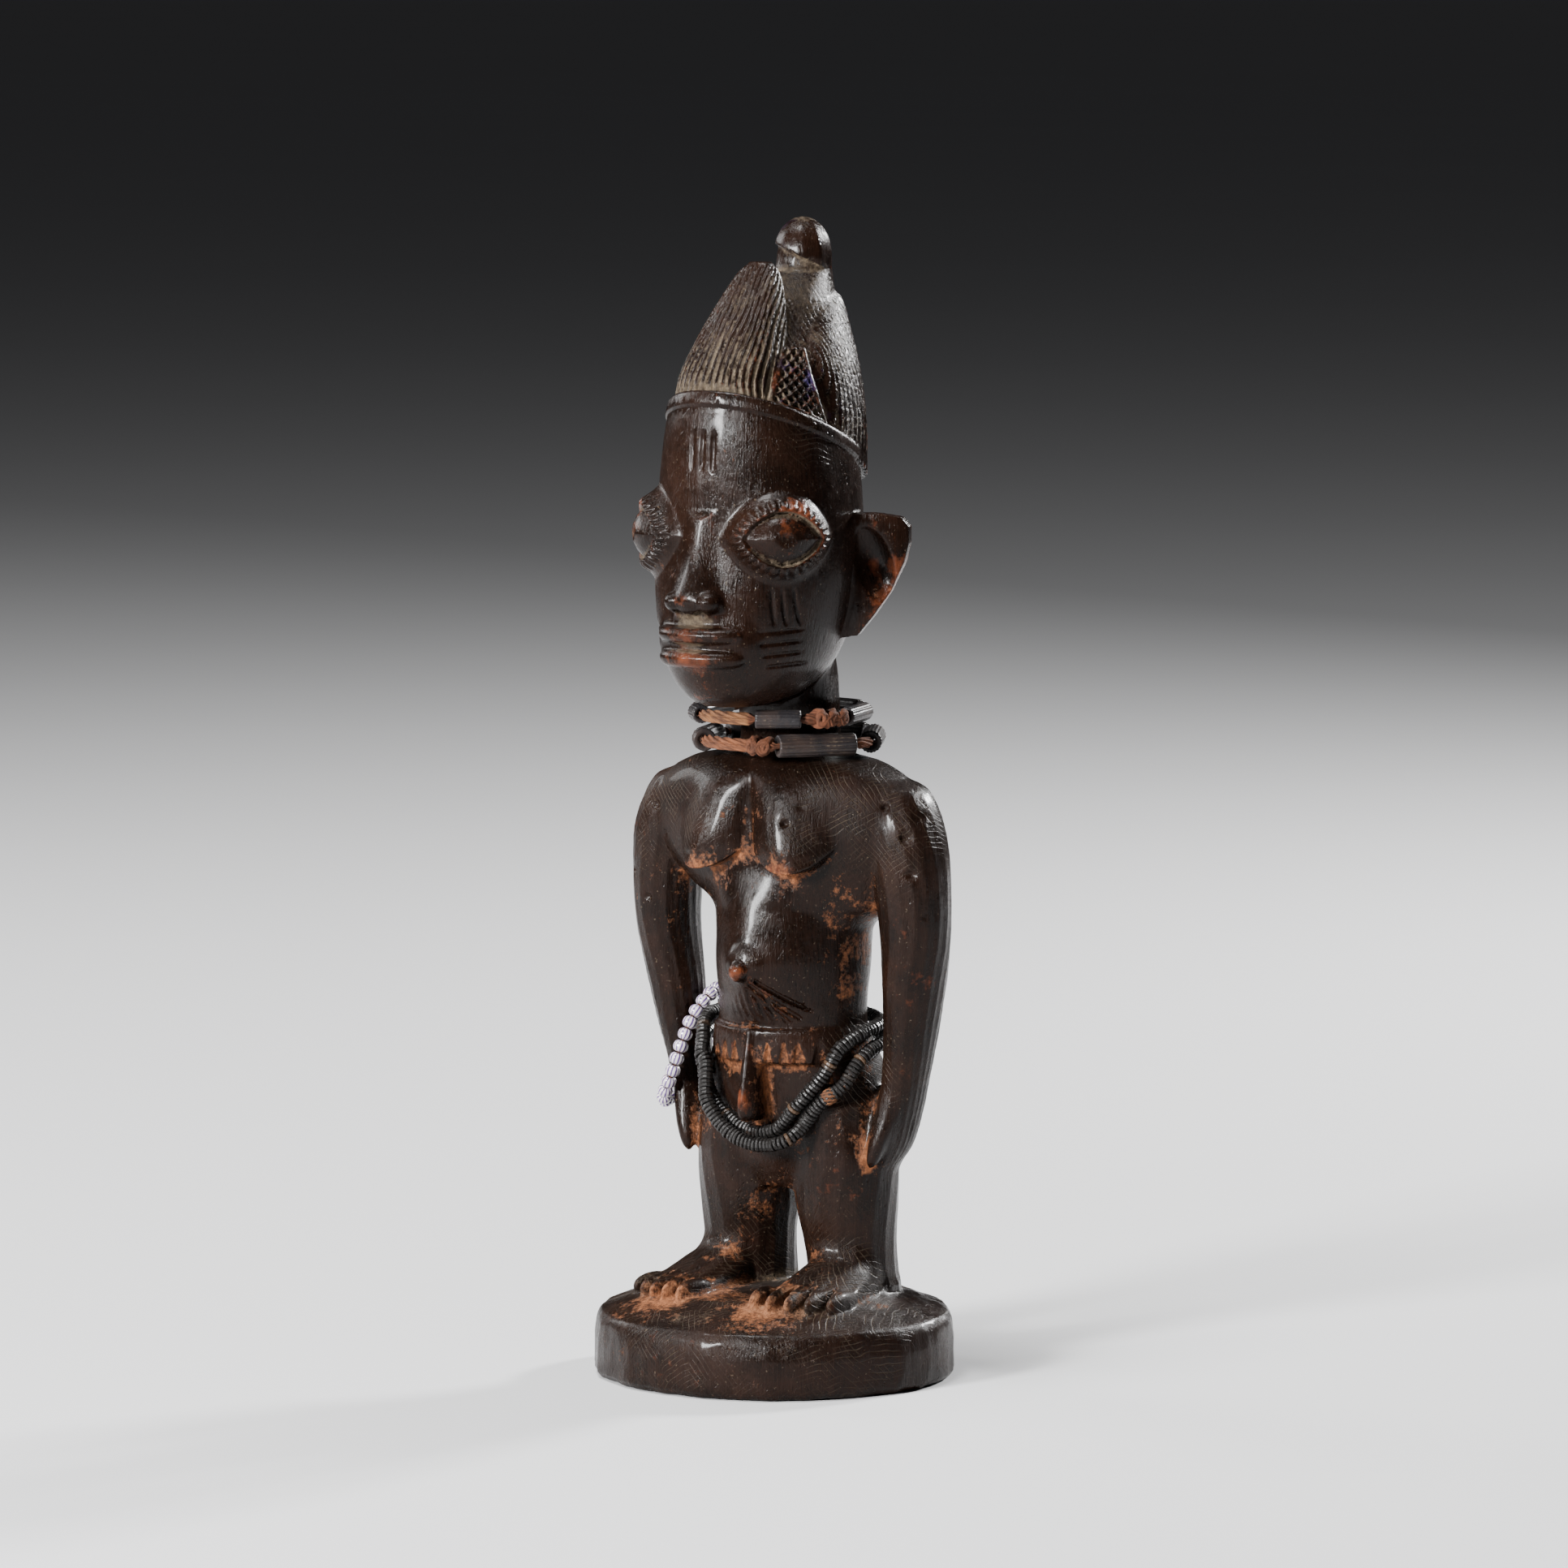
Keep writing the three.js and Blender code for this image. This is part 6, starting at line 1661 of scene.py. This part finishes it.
class FinishPlan(bpy.types.PropertyGroup):
    """Colours and gloss."""
    wood_dark: FloatVectorProperty(name="Dark wood", description="Oiled skin of the wood", subtype="COLOR",
                                   default=(0.0036, 0.0019, 0.0013))
    wood_light: FloatVectorProperty(name="Light wood", description="Thin places of the dark skin",
                                    subtype="COLOR", default=(0.0115, 0.0048, 0.0028))
    wood_worn: FloatVectorProperty(name="Worn wood", description="Wood rubbed red", subtype="COLOR",
                                   default=(0.13, 0.034, 0.013))
    wood_roughness: FloatProperty(name="Wood roughness", description="Roughness of the wood's skin",
                                  default=0.23, subtype="FACTOR", min=0, max=1)
    powder: FloatVectorProperty(name="Red powder", description="Red earth powder in hollows", subtype="COLOR",
                                default=(0.235, 0.088, 0.038))
    dust: FloatVectorProperty(name="Grey dust", description="Pale dust in hollows", subtype="COLOR",
                              default=(0.13, 0.10, 0.068))
    blue_trace: FloatVectorProperty(name="Blue traces", description="Traces of blue in the hair",
                                    subtype="COLOR", default=(0.05, 0.035, 0.18))
    tube_dark: FloatVectorProperty(name="Dark tube", description="Tube beads", subtype="COLOR",
                                   default=(0.012, 0.011, 0.012))
    tube_light: FloatVectorProperty(name="Scuffed tube", description="Scuffs on the tube beads",
                                    subtype="COLOR", default=(0.028, 0.019, 0.016))
    # The cords' dark brown, which also serves as painted shade between the strands.
    fibre_dark_and_shade: FloatVectorProperty(name="Dark fibre", description="Shade between strands", subtype="COLOR",
                                    default=(0.035, 0.014, 0.008))
    fibre_light: FloatVectorProperty(name="Light fibre", description="Fibre of the cords", subtype="COLOR",
                                     default=(0.20, 0.088, 0.034))
    fibre_red: FloatVectorProperty(name="Red fibre", description="Stain on the cords", subtype="COLOR",
                                   default=(0.15, 0.045, 0.019))
    disc_dark: FloatVectorProperty(name="Dark disc", description="Most of the discs", subtype="COLOR",
                                   default=(0.008, 0.007, 0.0065))
    disc_brown: FloatVectorProperty(name="Brown disc", description="Some of the discs", subtype="COLOR",
                                    default=(0.10, 0.055, 0.028))
    glass_white: FloatVectorProperty(name="White glass", description="Glass between stripes", subtype="COLOR",
                                     default=(0.50, 0.46, 0.46))
    glass_stripe: FloatVectorProperty(name="Glass stripe", description="Stripes of the glass beads",
                                      subtype="COLOR", default=(0.09, 0.05, 0.16))
    stripes: IntProperty(name="Stripes", description="Stripes round a glass bead", default=11)


class StrandPlan(bpy.types.PropertyGroup):
    """Sizes of the beads."""
    disc_radius: FloatProperty(name="Disc radius", description="Radius of a shell disc", default=0.00178,
                               unit="LENGTH", precision=5)
    disc_pitch: FloatProperty(name="Disc pitch", description="Step from disc to disc", default=0.00102,
                              unit="LENGTH", precision=5)
    glass_radius: FloatProperty(name="Glass radius", description="Radius of a glass bead", default=0.0019,
                                unit="LENGTH", precision=5)


class StagePlan(bpy.types.PropertyGroup):
    """The floor and the lights."""
    floor_colour: FloatVectorProperty(name="Floor", description="Colour of the floor", subtype="COLOR",
                                      default=(0.46, 0.46, 0.465))
    key_power: FloatProperty(name="Key light", description="Power of the main light", default=60.0,
                             unit="POWER")


class TWIN_OT_carving(bpy.types.Operator):
    """Carve the figure and its plinth as one skin"""
    bl_idname = "twin.carving"
    bl_label = "Carved figure"

    def execute(self, context):
        block = carved_block()
        points, quads = block.skin()
        normals = block.outward(points)
        points = points - normals * carve_marks(points)[:, None]
        points[:, 2] = np.clip(points[:, 2], 0, None)
        mesh = thinned(put_mesh("carved figure", points, quads), context.scene.twin_carving.most_triangles)
        mesh.polygons.foreach_set("use_smooth", np.ones(len(mesh.polygons), bool))
        give_carving_masks(mesh, block)
        put_piece("figure_carving", mesh, wood_finish(), "wood", "carved_figure")
        return {"FINISHED"}


class TWIN_OT_neck(bpy.types.Operator):
    """Thread the tube beads and knotted cords round the neck"""
    bl_idname = "twin.neck"
    bl_label = "Neck strands"

    def execute(self, context):
        for name, ring in (("neck", NECK_RING), ("choker", CHOKER_RING)):
            points, faces, (u, v, stain) = gathered(neck_cord(ring))
            mesh = put_mesh(f"{name} cord", points, faces)
            give_uv(mesh, "cord", u, v)
            give(mesh, "stain", stain)
            put_piece(f"{name}_fibre_cord", mesh, fibre_finish(), "cord", f"{name}_cord")
            for i, (middle, length) in enumerate(ring["tubes"]):
                points, quads, dip = tube_bead(ring, middle, length, ring["seed"] * 10 + i)
                points, faces, (dip,) = gathered([(points, quads, dip)])
                mesh = put_mesh(f"{name} tube {i + 1}", points, faces)
                give(mesh, "dip", dip)
                put_piece(f"{name}_tube_bead_{i + 1}", mesh, tube_finish(), "tube_bead",
                          f"{name}_tube_{i + 1}")
        return {"FINISHED"}


class TWIN_OT_hips(bpy.types.Operator):
    """Thread the shell discs round the hips"""
    bl_idname = "twin.hips"
    bl_label = "Hip strands"

    def execute(self, context):
        plan = context.scene.twin_strands
        radius, pitch = plan.disc_radius / MM, plan.disc_pitch / MM
        for k, (name, rows) in enumerate((("inner", INNER_STRAND), ("outer", OUTER_STRAND))):
            line = hip_path(rows, 240)
            count = int(path_length(line) / pitch)
            path, step = even_path(line, count)
            along, out, up = frames_along(path, True)
            random = drawn(30 + k, count, 6)
            tilt = (random[:, :1] - 0.5) * 0.16 * out + (random[:, 1:2] - 0.5) * 0.16 * up
            axes = along + tilt
            axes /= np.linalg.norm(axes, axis=1, keepdims=True)
            outs = out - axes * (out * axes).sum(1, keepdims=True)
            outs /= np.linalg.norm(outs, axis=1, keepdims=True)
            middles = path + (random[:, 2:3] - 0.5) * 0.16 * out + (random[:, 3:4] - 0.5) * 0.16 * up
            half = step * 0.43
            profile = [(r * radius, p * half) for r, p in DISC_PROFILE]
            sizes = (0.93 + 0.11 * random[:, 4])[:, None, None] * np.ones((1, len(profile), DISC_SIDES))
            points, quads = revolved(profile, DISC_SIDES, middles, axes, outs, sizes)
            tone = np.repeat(random[:, 5], len(profile) * DISC_SIDES)
            dip = np.tile(np.repeat(DISC_DIPS, DISC_SIDES), count)
            thread = twisted_cord(path[::2], True, 0.75, 3, 6.0, 0.2, 8)
            parts = [(points, quads, tone, dip), (*thread[:2], 0.0, 1.0)]
            points, faces, (tone, dip) = gathered(parts)
            mesh = put_mesh(f"{name} discs", points, faces, smooth=False)
            give(mesh, "tone", tone)
            give(mesh, "dip", dip)
            put_piece(f"hip_discs_{name}", mesh, disc_finish(), "shell_bead", f"hip_strand_{name}")
        at = np.argmin(np.linalg.norm(path - SPACER_NEAR, axis=1))
        wad = twisted_cord(path[at - 1:at + 3], False, radius * SPACER_SWELL, 9, 22.0, 0.3, 54)
        points, faces, (u, v) = gathered([wad])
        mesh = put_mesh("hip spacer", points, faces)
        give_uv(mesh, "cord", u, v)
        give(mesh, "stain", np.full(len(points), 0.35))
        put_piece("hip_fibre_spacer", mesh, fibre_finish(), "cord")
        return {"FINISHED"}


class TWIN_OT_wrist(bpy.types.Operator):
    """Thread the striped glass beads round the right forearm"""
    bl_idname = "twin.wrist"
    bl_label = "Wrist strand"

    def execute(self, context):
        radius = context.scene.twin_strands.glass_radius / MM
        spots = np.array(WRIST_STRAND) + (0, 0, SOLE)
        gaps, length = spline_through(spots, True, WRIST_BEADS)
        gaps = np.vstack([gaps[1:], gaps[:1]])
        before = np.roll(gaps, 1, 0)
        middles, axes = (before + gaps) / 2, gaps - before
        axes /= np.linalg.norm(axes, axis=1, keepdims=True)
        outs = np.cross(axes, (0.3, 0.2, 0.9))
        outs /= np.linalg.norm(outs, axis=1, keepdims=True)
        half = length / WRIST_BEADS / 2 - 0.06
        t = np.linspace(-1, 1, 13)
        outer = [(radius * (1 - abs(v) ** 2.6) ** 0.5 * 0.78 + radius * 0.22, v * half * 0.985) for v in t]
        outer = [(max(r, 0.8), p) for r, p in outer]
        profile = [(0.62, -half * 0.8)] + outer + [(0.62, half * 0.8), (0.62, 0)]
        angle = np.linspace(0, TURN, GLASS_SIDES, endpoint=False)
        ribs = 1 - 0.035 * (0.5 + 0.5 * np.cos(GLASS_RIBS * angle))
        for i in range(WRIST_BEADS):
            size = 0.95 + 0.05 * drawn(60 + i, 1)[0]
            swell = np.broadcast_to(ribs * size, (1, len(profile), GLASS_SIDES))
            one = slice(i, i + 1)
            points, quads = revolved(profile, GLASS_SIDES, middles[one], axes[one], outs[one], swell)
            reach = np.array([r for r, _ in profile])
            dip = np.repeat(np.clip(1.15 - (reach / radius) ** 3 * 1.2, 0, 1), GLASS_SIDES)
            u = np.tile(angle / TURN, len(profile))
            points, faces, (dip, u) = gathered([(points, quads, dip, u)])
            mesh = put_mesh(f"glass bead {i + 1}", points, faces)
            corners = faces.ravel()
            around = u[corners].reshape(-1, 3)
            around = np.where(around.max(1, keepdims=True) - around > 0.5, around + 1, around)
            layer = mesh.uv_layers.new(name="bead")
            pairs = np.stack([around.ravel(), dip[corners]], 1).astype(np.float32)
            layer.data.foreach_set("uv", pairs.ravel())
            give(mesh, "dip", dip)
            put_piece(f"wrist_glass_bead_{i + 1}", mesh, glass_finish(), "glass_bead", f"wrist_bead_{i + 1}")
        path, _ = spline_through(spots, True, 160)
        cord = twisted_cord(path, True, 0.5, 3, 4.0, 0.2, 9)
        points, faces, (u, v, stain) = gathered([(*cord, 0.6)])
        mesh = put_mesh("wrist thread", points, faces)
        give_uv(mesh, "cord", u, v)
        give(mesh, "stain", stain)
        put_piece("wrist_fibre_cord", mesh, fibre_finish(), "cord", "wrist_cord")
        return {"FINISHED"}


VIEW_TURN = math.radians(34)
CAMERA_PLACE = Vector((1.120, -1.657, 0.3537))
CAMERA_FOCUS = Vector((0.0019, 0.0013, 0.1435))
CAMERA_LENS = 191.2
LIGHT_TARGET = Vector((0, 0, 0.15))
# How far each light stands to the right, towards the camera and up, its size and its share of
# the key light's power.
LIGHTS = {
    "key": (-0.9, 0.9, 0.5, 0.22, 1.1),
    "top": (-0.35, 0.25, 1.6, 0.5, 0.85),
    "rim": (1.0, -0.9, 0.75, 0.2, 1.0),
    "back": (-1.0, -0.8, 0.6, 0.4, 0.15),
}


class TWIN_OT_stage(bpy.types.Operator):
    """Set the plain floor, the soft studio lights and the camera"""
    bl_idname = "twin.stage"
    bl_label = "Stage"

    def execute(self, context):
        scene = context.scene
        plan = scene.twin_stage
        camera = bpy.data.objects.new("camera", bpy.data.cameras.new("camera"))
        scene.collection.objects.link(camera)
        scene.camera = camera
        camera.location = CAMERA_PLACE
        camera.rotation_euler = (CAMERA_FOCUS - CAMERA_PLACE).to_track_quat("-Z", "Y").to_euler()
        camera.data.sensor_width = 36
        camera.data.lens = CAMERA_LENS
        camera.data.clip_start, camera.data.clip_end = 0.1, 60
        corners = np.array([[-40, -40, 0], [40, -40, 0], [40, 40, 0], [-40, 40, 0]], float) / MM
        mesh = put_mesh("floor", corners, np.array([[0, 1, 2, 3]]), smooth=False)
        floor = bpy.data.objects.new("floor", mesh)
        scene.collection.objects.link(floor)
        finish, tree, shader, where = new_finish("pale floor", 0.2)
        shade = mixed(tree, noise(tree, where, 1.5, 2.0), rgb([0.96 * c for c in plan.floor_colour]),
                      rgb(plan.floor_colour))
        tree.links.new(shade, shader.inputs["Base Color"])
        shader.inputs["Roughness"].default_value = 0.8
        mesh.materials.append(finish)
        right = Vector((math.cos(VIEW_TURN), math.sin(VIEW_TURN), 0))
        near = Vector((math.sin(VIEW_TURN), -math.cos(VIEW_TURN), 0))
        for name, (across, towards, up, size, share) in LIGHTS.items():
            spot = across * right + towards * near + Vector((0, 0, up))
            lamp = bpy.data.objects.new(name, bpy.data.lights.new(name, "AREA"))
            lamp.data.size = size
            lamp.data.energy = plan.key_power * share
            lamp.location = spot
            lamp.rotation_euler = (LIGHT_TARGET - spot).to_track_quat("-Z", "Y").to_euler()
            scene.collection.objects.link(lamp)
        world = bpy.data.worlds.new("studio")
        scene.world = world
        world.use_nodes = True
        world.node_tree.nodes["Background"].inputs[0].default_value = (0.035, 0.035, 0.037, 1)
        return {"FINISHED"}


class TWIN_PT_panel(bpy.types.Panel):
    """Lists the figure's pieces"""
    bl_idname = "TWIN_PT_panel"
    bl_label = "Twin figure"
    bl_space_type = "VIEW_3D"
    bl_region_type = "UI"
    bl_category = "Twin figure"

    def draw(self, context):
        for operator in OPERATORS:
            self.layout.operator(operator.bl_idname)


OPERATORS = (TWIN_OT_stage, TWIN_OT_carving, TWIN_OT_neck, TWIN_OT_hips, TWIN_OT_wrist)
PLANS = {
    "twin_carving": CarvingPlan, "twin_finish": FinishPlan, "twin_strands": StrandPlan,
    "twin_stage": StagePlan,
}


def register():
    for kind in (*PLANS.values(), *OPERATORS, TWIN_PT_panel):
        bpy.utils.register_class(kind)
    for name, kind in PLANS.items():
        setattr(bpy.types.Scene, name, PointerProperty(type=kind))


def unregister():
    for name in PLANS:
        delattr(bpy.types.Scene, name)
    for kind in (TWIN_PT_panel, *reversed(OPERATORS), *reversed(list(PLANS.values()))):
        bpy.utils.unregister_class(kind)


def main():
    register()
    build_groups()
    for operator in OPERATORS:
        group, name = operator.bl_idname.split(".")
        getattr(getattr(bpy.ops, group), name)()


if __name__ == "__main__":
    main()
